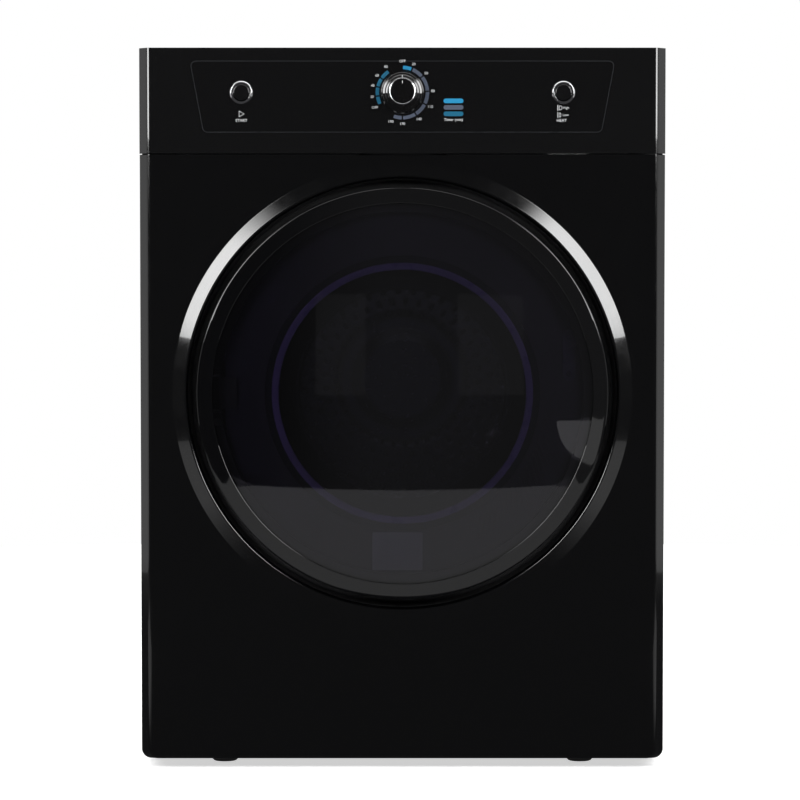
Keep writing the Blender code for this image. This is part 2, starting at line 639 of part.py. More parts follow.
def make_motor(looks):
    centre = (MOTOR_X, MOTOR_Z)
    bore = SHAFT_R + 0.0006
    body = [
        (bore, -0.0780), (0.0400, -0.0780), (0.0440, -0.0700), (MOTOR_R, -0.0700), (MOTOR_R, 0.0450),
        (0.0440, 0.0450), (0.0400, 0.0530), (bore, 0.0530),
    ]
    finish("motor_body", lathe(body, centre, MID), looks["zinc"])
    shaft = [
        (0, -0.1410), (SHAFT_R, -0.1410), (SHAFT_R, 0.0610), (PULLEY_R, 0.0620), (PULLEY_R, 0.0840),
        (0, 0.0840),
    ]
    finish("motor_shaft", lathe(shaft, centre, SMALL), looks["drum"], (MOTOR_X, 0, MOTOR_Z))
    cradle = arc(centre, MOTOR_R + 0.0007, 325, 215, 8)
    outline = [
        (0.115, 0.0125), (0.245, 0.0125), (0.245, 0.0160), (0.2300, 0.0180), *cradle, (0.1300, 0.0180),
        (0.115, 0.0160),
    ]
    saddle = finish("motor_bracket", prism(outline, -0.050, 0.025), looks["zinc"])
    combine(saddle, "DIFFERENCE", [rod(0.0048, 0.005, 0.030, IDLER_PIVOT, SMALL)])


def make_idler(looks):
    pivot, axle = IDLER_PIVOT, (IDLER_X, IDLER_Z)
    lean = math.degrees(math.atan2(axle[1] - pivot[1], axle[0] - pivot[0]))
    outline = arc(pivot, 0.010, lean + 90, lean + 270, 6) + arc(axle, 0.007, lean - 90, lean + 90, 6)
    arm = finish("idler_arm", prism(outline, 0.0565, 0.0605), looks["zinc"], (pivot[0], 0.0565, pivot[1]))
    pins = [rod(0.0042, 0.0080, 0.0570, pivot, SMALL), rod(0.0035, 0.0600, 0.0850, axle, SMALL)]
    combine(arm, "UNION", pins)
    wheel = [
        (0.0040, 0.0640), (IDLER_R + 0.003, 0.0640), (IDLER_R, 0.0660), (IDLER_R, 0.0800),
        (IDLER_R + 0.003, 0.0820), (0.0040, 0.0820),
    ]
    finish("idler_pulley", lathe(wheel, axle, MID), looks["dark"], (axle[0], BELT_Y, axle[1]))


def belt_path(wheels):
    """Centre line of a belt over wheels of (x, z, signed radius), positive where it turns anticlockwise."""
    leaves, arrives = [], []
    for k, (x, z, radius) in enumerate(wheels):
        x2, z2, radius2 = wheels[(k + 1) % len(wheels)]
        span = math.hypot(x2 - x, z2 - z)
        course = math.atan2(z2 - z, x2 - x) - math.asin((radius2 - radius) / span)
        leaves.append(course)
        arrives.append(course)
    path = []
    for k, (x, z, radius) in enumerate(wheels):
        start, end = arrives[k - 1], leaves[k]
        if radius > 0:
            end = start + (end - start) % (2 * math.pi)
        else:
            end = start - (start - end) % (2 * math.pi)
        steps = max(3, math.ceil(abs(end - start) / math.radians(7)))
        for step in range(steps + 1):
            course = start + (end - start) * step / steps
            path.append((x + radius * math.sin(course), z - radius * math.cos(course), course))
    return path


def make_belt(looks):
    clear = BELT_THICKNESS / 2 + 0.0005
    wheels = [
        (0, AXIS_Z, DRUM_R + clear + 0.0003),
        (IDLER_X, IDLER_Z, -IDLER_R - clear),
        (MOTOR_X, MOTOR_Z, PULLEY_R + clear),
    ]
    band = bmesh.new()
    rows = []
    half = BELT_THICKNESS / 2
    for side, y in ((half, -1), (half, 1), (-half, 1), (-half, -1)):
        row = []
        for x, z, course in belt_path(wheels):
            place = (x + side * math.sin(course), BELT_Y + y * BELT_WIDTH / 2, z - side * math.cos(course))
            row.append(band.verts.new(place))
        rows.append(row)
    join_loops(band, rows + rows[:1])
    finish("drive_belt", band, looks["rubber"])


def make_rollers(looks):
    reach = DRUM_R + 0.0008 + ROLLER_R
    for name, side in (("left", -1), ("right", 1)):
        centre = (side * reach * math.cos(ROLLER_ANGLE), AXIS_Z - reach * math.sin(ROLLER_ANGLE))
        tread = ring(0.0045, ROLLER_R, -0.1280, -0.1120, centre, MID)
        finish(f"{name}_roller", tread, looks["rubber"], (centre[0], -0.120, centre[1]))
        axle = [
            (0, -0.1503), (0.0090, -0.1503), (0.0090, -0.1485), (0.0040, -0.1480), (0.0040, -0.1100),
            (0.0075, -0.1100), (0.0075, -0.1070), (0, -0.1070),
        ]
        finish(f"{name}_roller_axle", lathe(axle, centre, SMALL), looks["zinc"])


def rounded_section(half_width, half_height, power, count=16):
    """Points of a superellipse: nearly a rectangle at a high power, and an ellipse at 2."""
    points = []
    for k in range(count):
        turn = 2 * math.pi * (k + 0.5) / count
        cos, sin = math.cos(turn), math.sin(turn)
        points.append((
            half_width * math.copysign(abs(cos) ** (2 / power), cos),
            half_height * math.copysign(abs(sin) ** (2 / power), sin),
        ))
    return points


def make_exhaust(looks):
    """From the fan's outlet to the left, round a bend to the rear, becoming round."""
    bend = 0.080
    corner = (-0.010, -0.1214 + bend)
    stations = [(0.0595, -0.1214, 90.0)]
    for step in range(6):
        turn = 18 * step
        x = corner[0] - bend * math.sin(math.radians(turn))
        y = corner[1] - bend * math.cos(math.radians(turn))
        stations.append((x, y, 90.0 - turn))
    stations += [(VENT_X, 0.050, 0.0), (VENT_X, 0.2390, 0.0)]
    tube = bmesh.new()
    rows = []
    for thin in (0.0, 0.002):
        loops = []
        for k, (x, y, heading) in enumerate(stations):
            share = min(1.0, max(0, k - 3) / (len(stations) - 5))
            width = 0.0284 + (VENT_R - 0.0284) * share - thin
            height = 0.0330 + (VENT_R - 0.0330) * share - thin
            z = 0.0530 + (VENT_Z - 0.0530) * share
            across = Vector((math.cos(math.radians(heading)), math.sin(math.radians(heading)), 0))
            loop = []
            for a, b in rounded_section(width, height, 8 - 6 * share):
                loop.append(tube.verts.new(Vector((x, y, z + b)) + across * a))
            loops.append(loop)
        rows.append(loops)
    closed = rows[0] + rows[1][::-1]
    join_loops(tube, closed + closed[:1])
    finish("exhaust_duct", tube, looks["zinc"])
    collar = [
        (0.0478, 0.2395), (VENT_R, 0.2395), (VENT_R, REAR_Y + 0.0003), (0.0620, REAR_Y + 0.0003),
        (0.0620, REAR_Y + 0.0028), (VENT_R, REAR_Y + 0.0040), (VENT_R, BOX_Y), (0.0478, BOX_Y),
    ]
    finish("vent_collar", lathe(collar, (VENT_X, VENT_Z)), looks["dark"])


def make_heater(looks):
    """The hot-air duct on the outside of the rear panel, with the heater in its leg."""
    wide, low = 0.075, 0.165
    reach = math.degrees(math.asin(wide / 0.165))
    outline = [(-wide, low), (wide, low), *arc((0, AXIS_Z), 0.165, -90 + reach, 270 - reach, 26)]
    duct = finish("rear_duct_cover", prism(outline, REAR_Y + 0.0003, 0.2720), looks["zinc"])
    combine(duct, "DIFFERENCE", [prism(offset_outline(outline, SHEET), REAR_Y - 0.01, 0.2720 - SHEET)])
    combine(duct, "DIFFERENCE", [block((-0.060, 0.2600, low - 0.01), (0.060, 0.2690, low + 0.01))])
    path = []
    for k in range(6):
        z = 0.182 + 0.013 * k
        side = 1 if k % 2 else -1
        path += [(side * 0.058, z), (-side * 0.058, z)]
    finish("heater_element", prism(ribbon(path, 0.0035), 0.2600, 0.2680), looks["heater"])


def make_gland(looks):
    gland = [
        (0.0052, 0.2480), (0.0090, 0.2480), (0.0090, REAR_Y + 0.0003), (0.0140, REAR_Y + 0.0003),
        (0.0140, REAR_Y + 0.0030), (0.0100, 0.2680), (0.0052, 0.2680),
    ]
    finish("cable_gland", lathe(gland, (-0.235, 0.745), SMALL), looks["rubber"])


def main():
    clear_scene()
    looks = make_looks()
    for make in (
        make_base_pan, make_feet, make_cabinet_sides, make_top_panel, make_rear_panel, make_front_panel,
        make_console, make_controls, make_door, make_hinge, make_door_catch, make_drum,
        make_bearings_and_seals, make_bulkhead, make_filter, make_filter_duct, make_fan, make_motor,
        make_idler, make_belt, make_rollers, make_exhaust, make_heater, make_gland,
    ):
        make(looks)


main()
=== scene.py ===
"""Looks of the tumble dryer: fine shells, door, controls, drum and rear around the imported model."""

import json
import math

import bmesh
import bpy
from mathutils import Matrix, Vector


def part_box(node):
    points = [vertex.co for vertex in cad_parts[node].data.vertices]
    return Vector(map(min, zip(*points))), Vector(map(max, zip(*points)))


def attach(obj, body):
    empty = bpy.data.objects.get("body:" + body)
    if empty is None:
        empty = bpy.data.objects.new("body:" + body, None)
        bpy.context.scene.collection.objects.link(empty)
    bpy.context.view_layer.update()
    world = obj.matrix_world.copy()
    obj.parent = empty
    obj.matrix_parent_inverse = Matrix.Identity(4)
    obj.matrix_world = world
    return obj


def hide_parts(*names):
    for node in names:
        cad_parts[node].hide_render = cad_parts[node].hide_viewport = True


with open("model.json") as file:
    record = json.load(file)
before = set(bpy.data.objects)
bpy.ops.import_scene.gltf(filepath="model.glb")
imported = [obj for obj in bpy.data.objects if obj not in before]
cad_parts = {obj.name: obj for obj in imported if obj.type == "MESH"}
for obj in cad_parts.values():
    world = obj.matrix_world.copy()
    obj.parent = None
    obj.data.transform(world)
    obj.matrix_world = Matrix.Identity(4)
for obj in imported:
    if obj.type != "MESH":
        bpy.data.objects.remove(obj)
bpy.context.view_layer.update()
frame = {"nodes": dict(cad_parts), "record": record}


def box_of(node):
    low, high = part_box(node)
    return Vector(low), Vector(high)


def middle_of(low, high):
    """The middle of a box as (x, z)."""
    return (low.x + high.x) / 2, (low.z + high.z) / 2


def joint_place(name):
    return Vector(next(j for j in frame["record"]["behaviour"]["joints"] if j["name"] == name)["pos_m"])


# Places read from the frame
FRONT_LOW, FRONT_HIGH = box_of("front_panel")
CONSOLE_LOW, CONSOLE_HIGH = box_of("console")
KNOB_LOW, KNOB_HIGH = box_of("timer_knob")
COVER_LOW, COVER_HIGH = box_of("door_cover")
LEFT_LOW, LEFT_HIGH = box_of("left_side_panel")
TOP_LOW, TOP_HIGH = box_of("top_panel")
REAR_LOW, REAR_HIGH = box_of("rear_panel")
DUCT_LOW, DUCT_HIGH = box_of("rear_duct_cover")
COLLAR_LOW, COLLAR_HIGH = box_of("vent_collar")
DRUM_LOW, DRUM_HIGH = box_of("drum_shell")
FILTER_LOW, FILTER_HIGH = box_of("lint_filter")
CATCH_LOW, CATCH_HIGH = box_of("door_catch")
FASCIA_LOW, FASCIA_HIGH = box_of("console_fascia")

HALF = FRONT_HIGH.x
AXIS_Z = joint_place("drum_spin").z
CONTROL_Z = joint_place("timer_turn").z
BUTTON_X = middle_of(*box_of("heat_button"))[0]
FASCIA_Y = CONSOLE_LOW.y
PRINT_FRONT = FASCIA_Y - 0.00005
PRINT_BACK = FASCIA_Y + 0.0003
DOOR_R = COVER_HIGH.x
CROWN_Y = COVER_LOW.y
DRUM_R = DRUM_HIGH.x
VENT = middle_of(COLLAR_LOW, COLLAR_HIGH)

# Sizes of the visible shapes
RING_HEIGHT = 0.007
FACE_Y = FRONT_LOW.y + RING_HEIGHT
WELL_DEPTH = 0.024
WELL_EDGE_R = 0.243
STEP_DEPTH = 0.015
EDGE_BEVEL = 0.01
WINDOW_R = 0.215
DOME_R = 1.195
DOME_WALL = 0.0035
BOWL_R = 0.1425
THROAT_R = 0.166
FASCIA_TOP_HALF = 0.24
FASCIA_BOTTOM_HALF = 0.225
SHEET = 0.0011
SIDES = 192
SHARP_ANGLE = math.radians(32)
CAMERA_TILT = math.radians(2.5)


# Mesh tools


def placed(across, up, along, axis):
    return {"X": (along, across, up), "Y": (across, along, up), "Z": (across, up, along)}[axis]


def arc_points(centre, radius, turns):
    return [(centre[0] + radius * math.cos(t), centre[1] + radius * math.sin(t)) for t in turns]


def arc(centre, radius, start, end, steps):
    """An arc between two turns in degrees."""
    turns = [math.radians(start + (end - start) * k / steps) for k in range(steps + 1)]
    return arc_points(centre, radius, turns)


def rounded(points, closed=True, steps=5):
    """An outline whose corners given as (a, b, radius) are turned into arcs."""
    outline = []
    for k, point in enumerate(points):
        here = Vector(point[:2])
        radius = point[2] if len(point) > 2 else 0
        if radius <= 0 or (not closed and k in (0, len(points) - 1)):
            outline.append(tuple(here))
            continue
        before = Vector(points[k - 1][:2]) - here
        after = Vector(points[(k + 1) % len(points)][:2]) - here
        half = before.angle(after) / 2
        reach = min(radius / math.tan(half), before.length * 0.49, after.length * 0.49)
        radius = reach * math.tan(half)
        middle = here + (before.normalized() + after.normalized()).normalized() * radius / math.sin(half)
        first = here + before.normalized() * reach - middle
        last = here + after.normalized() * reach - middle
        start = math.atan2(first.y, first.x)
        sweep = (math.atan2(last.y, last.x) - start + math.pi) % (2 * math.pi) - math.pi
        for step in range(steps + 1):
            turn = start + sweep * step / steps
            outline.append((middle.x + radius * math.cos(turn), middle.y + radius * math.sin(turn)))
    return outline


def join_loops(shape, loops):
    for first, second in zip(loops, loops[1:]):
        for k in range(len(first)):
            n = (k + 1) % len(first)
            shape.faces.new((first[k], first[n], second[n], second[k]))


def skin(loops, capped=False):
    """Joins loops of points into an open skin, its last loop filled when it is capped."""
    shape = bmesh.new()
    rows = [[shape.verts.new(point) for point in loop] for loop in loops]
    join_loops(shape, rows)
    if capped:
        shape.faces.new(rows[-1])
    return shape


def lathe(profile, centre=(0.0, AXIS_Z), sides=SIDES, axis="Y"):
    """Turns an outline of (radius, place along the axis) about an axis through centre."""
    turns = [2 * math.pi * k / sides for k in range(sides)]
    shape = bmesh.new()
    rings = []
    for radius, along in profile:
        ring = arc_points(centre, radius, turns) if radius > 1e-7 else [centre]
        rings.append([shape.verts.new(placed(*point, along, axis)) for point in ring])
    for first, second in zip(rings, rings[1:] + rings[:1]):
        one, two = len(first), len(second)
        for k in range(sides):
            n = (k + 1) % sides
            corners = dict.fromkeys((first[k % one], first[n % one], second[n % two], second[k % two]))
            if len(corners) > 2:
                shape.faces.new(list(corners))
    return shape


def prism(outline, low, high, axis="Y"):
    shape = bmesh.new()
    ends = [[shape.verts.new(placed(a, b, c, axis)) for a, b in outline] for c in (low, high)]
    join_loops(shape, ends)
    shape.faces.new(ends[0])
    shape.faces.new(ends[1])
    return shape


def block(low, high):
    outline = [(low[0], low[2]), (high[0], low[2]), (high[0], high[2]), (low[0], high[2])]
    return prism(outline, low[1], high[1])


def rod(radius, low, high, centre, sides=48):
    return lathe([(0, low), (radius, low), (radius, high), (0, high)], centre, sides)


def round_rect(middle, half, radius, steps=8):
    """Counter-clockwise outline of a rectangle with round corners."""
    points = []
    for turn, across, up in ((0, 1, 1), (90, -1, 1), (180, -1, -1), (270, 1, -1)):
        centre = (middle[0] + across * (half[0] - radius), middle[1] + up * (half[1] - radius))
        points += arc(centre, radius, turn, turn + 90, steps)
    return points


def new_object(name, data):
    made = bpy.data.objects.new(name, data)
    bpy.context.scene.collection.objects.link(made)
    return made


def mesh_of(name, shape):
    mesh = bpy.data.meshes.new(name)
    shape.to_mesh(mesh)
    shape.free()
    return mesh


def merge(shapes):
    whole = bmesh.new()
    for shape in shapes:
        bmesh.ops.recalc_face_normals(shape, faces=shape.faces)
        part = mesh_of("part", shape)
        whole.from_mesh(part)
        bpy.data.meshes.remove(part)
    return whole


def face_out(shape, way):
    """Turns an open skin's faces so that their sum points along way."""
    bmesh.ops.recalc_face_normals(shape, faces=shape.faces)
    if sum(f.normal.dot(way) * f.calc_area() for f in shape.faces) < 0:
        bmesh.ops.reverse_faces(shape, faces=shape.faces)


def piece(name, shape, look, body, stands_for=None, bevel=0.0, turned=True, recalc=True):
    """Makes a named piece that rides on a CAD body and may replace a CAD node."""
    if recalc:
        bmesh.ops.recalc_face_normals(shape, faces=shape.faces)
    mesh = mesh_of(name, shape)
    mesh.shade_smooth()
    mesh.set_sharp_from_angle(angle=SHARP_ANGLE)
    for one in [look] if isinstance(look, str) else look:
        mesh.materials.append(LOOKS[one])
    made = new_object(name, mesh)
    if bevel:
        step = made.modifiers.new("edges", "BEVEL")
        step.width = bevel
        step.segments = 3
        step.limit_method = "ANGLE"
        step.angle_limit = math.radians(40)
    if turned:
        weighted = made.modifiers.new("flat faces", "WEIGHTED_NORMAL")
        weighted.keep_sharp = True
    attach(made, body)
    if stands_for:
        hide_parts(stands_for)
    return made


def thicken(made, thickness, offset=-1, first=True):
    """Gives a skin its thickness, before its normals are weighted unless first is False."""
    step = made.modifiers.new("sheet", "SOLIDIFY")
    step.thickness = thickness
    step.offset = offset
    if first:
        made.modifiers.move(len(made.modifiers) - 1, 0)


def pressed(name, shape, look, node, thickness=SHEET):
    """A pressed sheet of the cabinet, from the open skin of its outer face."""
    made = piece(name, shape, look, "cabinet", node, recalc=False)
    thicken(made, thickness)
    return made


def cut(made, tools):
    """Cuts closed shapes out of a piece, before its shading step, and applies the cut."""
    bpy.context.view_layer.update()
    cutter = new_object("cutter", mesh_of("cutter", merge(tools)))
    step = made.modifiers.new("cut", "BOOLEAN")
    step.operation = "DIFFERENCE"
    step.object = cutter
    bpy.context.view_layer.objects.active = made
    weighted = made.modifiers.find("flat faces")
    if weighted >= 0:
        made.modifiers.move(len(made.modifiers) - 1, weighted)
    for modifier in list(made.modifiers):
        if modifier.type != "WEIGHTED_NORMAL":
            with bpy.context.temp_override(object=made, active_object=made):
                bpy.ops.object.modifier_apply(modifier=modifier.name)
    made.data.set_sharp_from_angle(angle=SHARP_ANGLE)
    bpy.data.objects.remove(cutter, do_unlink=True)


# Materials


FIRST_COLOUR, SECOND_COLOUR, MIXED_COLOUR = 6, 7, 2


def fill(node, values):
    """Sets a shader node's inputs by their names or places."""
    for key, value in values.items():
        node.inputs[key].default_value = value


def add_node(tree, kind, values=()):
    made = tree.nodes.new(f"ShaderNode{kind}")
    fill(made, dict(values))
    return made


def add_mix(tree, first, second):
    """A node that mixes two colours."""
    made = add_node(tree, "Mix", {FIRST_COLOUR: (*first, 1), SECOND_COLOUR: (*second, 1)})
    made.data_type = "RGBA"
    return made


def wire(first, result, second, entry):
    first.id_data.links.new(first.outputs[result], second.inputs[entry])


def new_material(name):
    made = bpy.data.materials.new(name)
    made.use_nodes = True
    return made, made.node_tree


def surface(name, colour, roughness, metallic=0.0, grain=700.0, bump=0.0, vary=0.12, spread=0.05,
            coat=0.0, stretch=(1, 1, 1), clouds=9.0, sheen=0.0):
    """A procedural finish: slow colour change, uneven roughness and a fine grain in the bump."""
    made, tree = new_material(name)
    shader = tree.nodes["Principled BSDF"]
    fill(shader, {"Metallic": metallic, "Coat Weight": coat, "Coat Roughness": 0.03, "Sheen Weight": sheen})
    where = add_node(tree, "TexCoord")
    spin = add_node(tree, "Mapping", {"Scale": stretch})
    wire(where, "Object", spin, "Vector")

    def noise(scale, detail):
        made = add_node(tree, "TexNoise", {"Scale": scale, "Detail": detail})
        wire(spin, "Vector", made, "Vector")
        return made

    tone = add_mix(tree, [c * (1 - vary) for c in colour], [min(1, c * (1 + vary)) for c in colour])
    wire(noise(clouds, 4), "Fac", tone, "Factor")
    wire(tone, MIXED_COLOUR, shader, "Base Color")
    uneven = add_node(tree, "MapRange", {
        "From Min": 0.3, "From Max": 0.7,
        "To Min": max(0.0, roughness - spread), "To Max": roughness + spread,
    })
    wire(noise(clouds * 5, 6), "Fac", uneven, "Value")
    wire(uneven, "Result", shader, "Roughness")
    if bump:
        relief = add_node(tree, "Bump", {"Strength": bump, "Distance": 0.0004})
        wire(noise(grain, 3), "Fac", relief, "Height")
        wire(relief, "Normal", shader, "Normal")
    return made


def clear_pane(name, tint, roughness, ior=1.5):
    """Thin clear plastic or glass: a mirror coat over a tinted see-through body, with faint smears."""
    made, tree = new_material(name)
    tree.nodes.remove(tree.nodes["Principled BSDF"])
    through = add_node(tree, "BsdfTransparent")
    where = add_node(tree, "TexCoord")
    cloud = add_node(tree, "TexNoise", {"Scale": 14, "Detail": 5})
    wire(where, "Object", cloud, "Vector")
    tone = add_mix(tree, [c * 0.92 for c in tint], tint)
    wire(cloud, "Fac", tone, "Factor")
    wire(tone, MIXED_COLOUR, through, "Color")
    gloss = add_node(tree, "BsdfGlossy")
    uneven = add_node(tree, "MapRange", {"To Min": roughness, "To Max": roughness + 0.02})
    wire(cloud, "Fac", uneven, "Value")
    wire(uneven, "Result", gloss, "Roughness")
    share = add_node(tree, "Fresnel", {"IOR": ior})
    mixed = add_node(tree, "MixShader")
    wire(share, "Fac", mixed, "Fac")
    wire(through, "BSDF", mixed, 1)
    wire(gloss, "BSDF", mixed, 2)
    wire(mixed, "Shader", tree.nodes["Material Output"], "Surface")
    return made


LOOKS = {
    "enamel": surface("black_enamel", (0.0007, 0.0007, 0.0008), 0.13, grain=420, bump=0.012, spread=0.03,
                      coat=1.0),
    "well": surface("well_enamel", (0.021, 0.021, 0.022), 0.42, grain=420, bump=0.03),
    "side": surface("side_enamel", (0.0016, 0.0016, 0.0018), 0.22, grain=500, bump=0.04, spread=0.02),
    "zinc": surface("zinc_sheet", (0.52, 0.53, 0.54), 0.38, 1.0, grain=900, bump=0.05, vary=0.05,
                    spread=0.045, clouds=16),
    "gloss": surface("gloss_black", (0.0023, 0.0023, 0.0024), 0.09, grain=300, bump=0.006, spread=0.02,
                     coat=1.0),
    "fascia": surface("fascia_black", (0.0019, 0.0019, 0.002), 0.07, grain=300, bump=0.004, spread=0.02,
                      coat=1.0),
    "rim": surface("door_rim_black", (0.0009, 0.0009, 0.0011), 0.03, grain=300, bump=0.004, spread=0.01),
    "dark": surface("dark_plastic", (0.022, 0.022, 0.024), 0.5, grain=1400, bump=0.25, spread=0.08),
    "liner": surface("liner_plastic", (0.023, 0.0205, 0.037), 0.42, grain=1400, bump=0.2, spread=0.08),
    "grey": surface("grey_plastic", (0.33, 0.34, 0.35), 0.48, grain=1200, bump=0.15, vary=0.06),
    "lifter": surface("lifter_plastic", (0.44, 0.45, 0.46), 0.32, grain=1100, bump=0.1, vary=0.06),
    "plate": surface("plate_plastic", (0.04, 0.035, 0.07), 0.3, grain=1100, bump=0.1, vary=0.1),
    "violet": surface("violet_plastic", (0.13, 0.09, 0.27), 0.3, grain=900, bump=0.05, vary=0.15),
    "chrome": surface("chrome", (0.82, 0.82, 0.84), 0.07, 1.0, grain=500, bump=0.004, vary=0.03, spread=0.03),
    "felt": surface("felt", (0.14, 0.13, 0.125), 0.95, grain=2600, bump=0.9, vary=0.3, clouds=60, sheen=0.3),
    "rubber": surface("rubber", (0.014, 0.014, 0.014), 0.72, grain=1500, bump=0.3, vary=0.25),
    "drum": surface("drum_steel", (0.58, 0.58, 0.59), 0.24, 1.0, grain=300, bump=0.05, vary=0.06,
                    stretch=(1, 12, 1), clouds=18),
    "bronze": surface("bronze", (0.48, 0.31, 0.13), 0.38, 1.0, grain=2200, bump=0.2, vary=0.15),
    "mica": surface("mica", (0.46, 0.37, 0.25), 0.6, grain=900, bump=0.3, vary=0.25),
    "motor": surface("motor_paint", (0.16, 0.165, 0.17), 0.4, grain=600, bump=0.1),
    "white": surface("print_white", (0.56, 0.57, 0.58), 0.45, grain=2500, bump=0.04, vary=0.04),
    "light_blue": surface("print_light_blue", (0.01, 0.2, 0.38), 0.4, grain=2500, bump=0.04, vary=0.05),
    "mid_blue": surface("print_mid_blue", (0.005, 0.095, 0.17), 0.4, grain=2500, bump=0.04, vary=0.05),
    "slate": surface("print_slate", (0.055, 0.068, 0.1), 0.45, grain=2500, bump=0.04, vary=0.05),
    # Painted highlight: a lighter colour for the line along the fascia's edge, standing in for the light that
    # the edge bevel catches.
    "edge_line": surface("edge_line", (0.016, 0.017, 0.019), 0.3, grain=900, bump=0.02, vary=0.1),
    "label": surface("plain_label", (0.16, 0.16, 0.19), 0.5, grain=1800, bump=0.05, vary=0.06),
    "window": clear_pane("smoked_window", (0.6, 0.59, 0.65), 0.012),
    "glass": clear_pane("bowl_glass", (0.86, 0.87, 0.93), 0.01, 1.52),
}


# Cabinet


def corner_outline(half_width, low, high, low_radius, high_radius):
    return rounded([
        (half_width, low, low_radius), (half_width, high, high_radius),
        (-half_width, high, high_radius), (-half_width, low, low_radius),
    ], steps=10)


def sheet_loop(half_width, low, high, y, low_radius, high_radius):
    """Rectangle with round corners, its straight sides divided evenly, so that loops of any size match up."""
    steps = 96
    outline = corner_outline(half_width, low, high, low_radius, high_radius)
    corner = len(outline) // 4
    loop = []
    for k, (x, z) in enumerate(outline):
        loop.append((x, y, z))
        if (k + 1) % corner == 0:
            far_x, far_z = outline[(k + 1) % len(outline)]
            loop += [(x + (far_x - x) * s / steps, y, z + (far_z - z) * s / steps) for s in range(1, steps)]
    return loop


def round_loops(loop, profile, y):
    """Round loops on a profile of (radius, depth behind y), their points in step with those of loop."""
    turns = [math.atan2(point[2] - AXIS_Z, point[0]) for point in loop]
    return [[(radius * math.cos(t), y + depth, AXIS_Z + radius * math.sin(t)) for t in turns]
            for radius, depth in profile]


def edge_profile(reach):
    """The bevelled side edge of the front and the console: (distance in from the side, depth)."""
    return rounded([
        (0.0, reach), (0.0, EDGE_BEVEL, 0.002), (EDGE_BEVEL, 0.0, 0.008), (EDGE_BEVEL + 0.006, 0.0),
    ], closed=False, steps=9)


def make_front():
    """Pressed front sheet: bevelled side edges, raised ring, and the dish the door sits in."""
    low, high = FRONT_LOW.z, FRONT_HIGH.z
    low_corner, high_corner, low_draw = 0.0108, 0.0008, 0.1
    loops = []
    for inset, depth in edge_profile(FRONT_HIGH.y - FACE_Y):
        foot = low + low_draw * inset
        loops.append(sheet_loop(HALF - inset, foot, high, FACE_Y + depth, low_corner, high_corner))
    profile = rounded([
        (0.275, 0.0), (0.2608, 0.0, 0.003), (0.2457, -RING_HEIGHT, 0.0022), (0.2425, -0.003, 0.003),
        (0.2408, WELL_DEPTH, 0.004), (0.205, WELL_DEPTH, 0.003), (0.2, STEP_DEPTH, 0.003),
        (0.169, STEP_DEPTH, 0.0035), (0.169, 0.022),
    ], closed=False, steps=7)
    loops += round_loops(loops[-1], profile, FACE_Y)
    shape = skin(loops)
    for one in shape.faces:
        middle = one.calc_center_median()
        if middle.y > FACE_Y - 0.002 and math.hypot(middle.x, middle.z - AXIS_Z) < WELL_EDGE_R:
            one.material_index = 1
    front = pressed("front_shell", shape, ("enamel", "well"), "front_panel")
    slot_low = (CATCH_LOW.x + 0.003, FACE_Y, CATCH_LOW.z + 0.008)
    cut(front, [block(slot_low, (CATCH_HIGH.x - 0.005, FACE_Y + 0.03, CATCH_HIGH.z - 0.008))])


def make_sides():
    """Side sheets with a shallow pressed field and a rolled edge."""
    middle = ((LEFT_LOW.y + LEFT_HIGH.y) / 2, (LEFT_LOW.z + LEFT_HIGH.z) / 2)
    half = ((LEFT_HIGH.y - LEFT_LOW.y) / 2, (LEFT_HIGH.z - LEFT_LOW.z) / 2)
    steps = [(0.0, 0.006, 0.001), (0.0, 0.001, 0.001), (0.0003, 0.0003, 0.0012), (0.001, 0.0, 0.0015),
             (0.044, 0.0, 0.02), (0.045, 0.0, 0.02), (0.0465, 0.0003, 0.0195), (0.05, 0.0013, 0.0165),
             (0.052, 0.0016, 0.015), (0.053, 0.0016, 0.0145)]
    for name, side in (("left", -1), ("right", 1)):
        loops = []
        for inset, depth, radius in steps:
            outline = round_rect(middle, (half[0] - inset, half[1] - inset), radius, 10)
            loops.append([(side * (HALF - depth), y, z) for y, z in outline])
        shape = skin(loops, True)
        face_out(shape, Vector((side, 0, 0)))
        pressed(f"{name}_side_skin", shape, "side", f"{name}_side_panel", 0.001)


def make_top():
    """Folded lid with soft edges."""
    middle = (0, (TOP_LOW.y + TOP_HIGH.y) / 2)
    half = (HALF, (TOP_HIGH.y - TOP_LOW.y) / 2)
    radius = 0.004
    steps = [(0.0, TOP_LOW.z)]
    for bend in range(0, 91, 10):
        turn = math.radians(bend)
        steps.append((radius * (1 - math.cos(turn)), TOP_HIGH.z - radius * (1 - math.sin(turn))))
    steps.append((radius + 0.001, TOP_HIGH.z))
    loops = []
    for inset, z in steps:
        outline = round_rect(middle, (half[0] - inset, half[1] - inset), 0.0052 - inset, 6)
        loops.append([(x, y, z) for x, y in outline])
    shape = skin(loops, True)
    face_out(shape, Vector((0, 0, 1)))
    pressed("top_lid", shape, "side", "top_panel", 0.0012)


def fascia_outline(grow=0.0):
    top, bottom = FASCIA_HIGH.z + grow, FASCIA_LOW.z - grow
    wide, narrow = FASCIA_TOP_HALF + grow, FASCIA_BOTTOM_HALF + grow
    return rounded([
        (-narrow, bottom, 0.006), (narrow, bottom, 0.006), (wide, top, 0.006), (-wide, top, 0.006),
    ], steps=8)


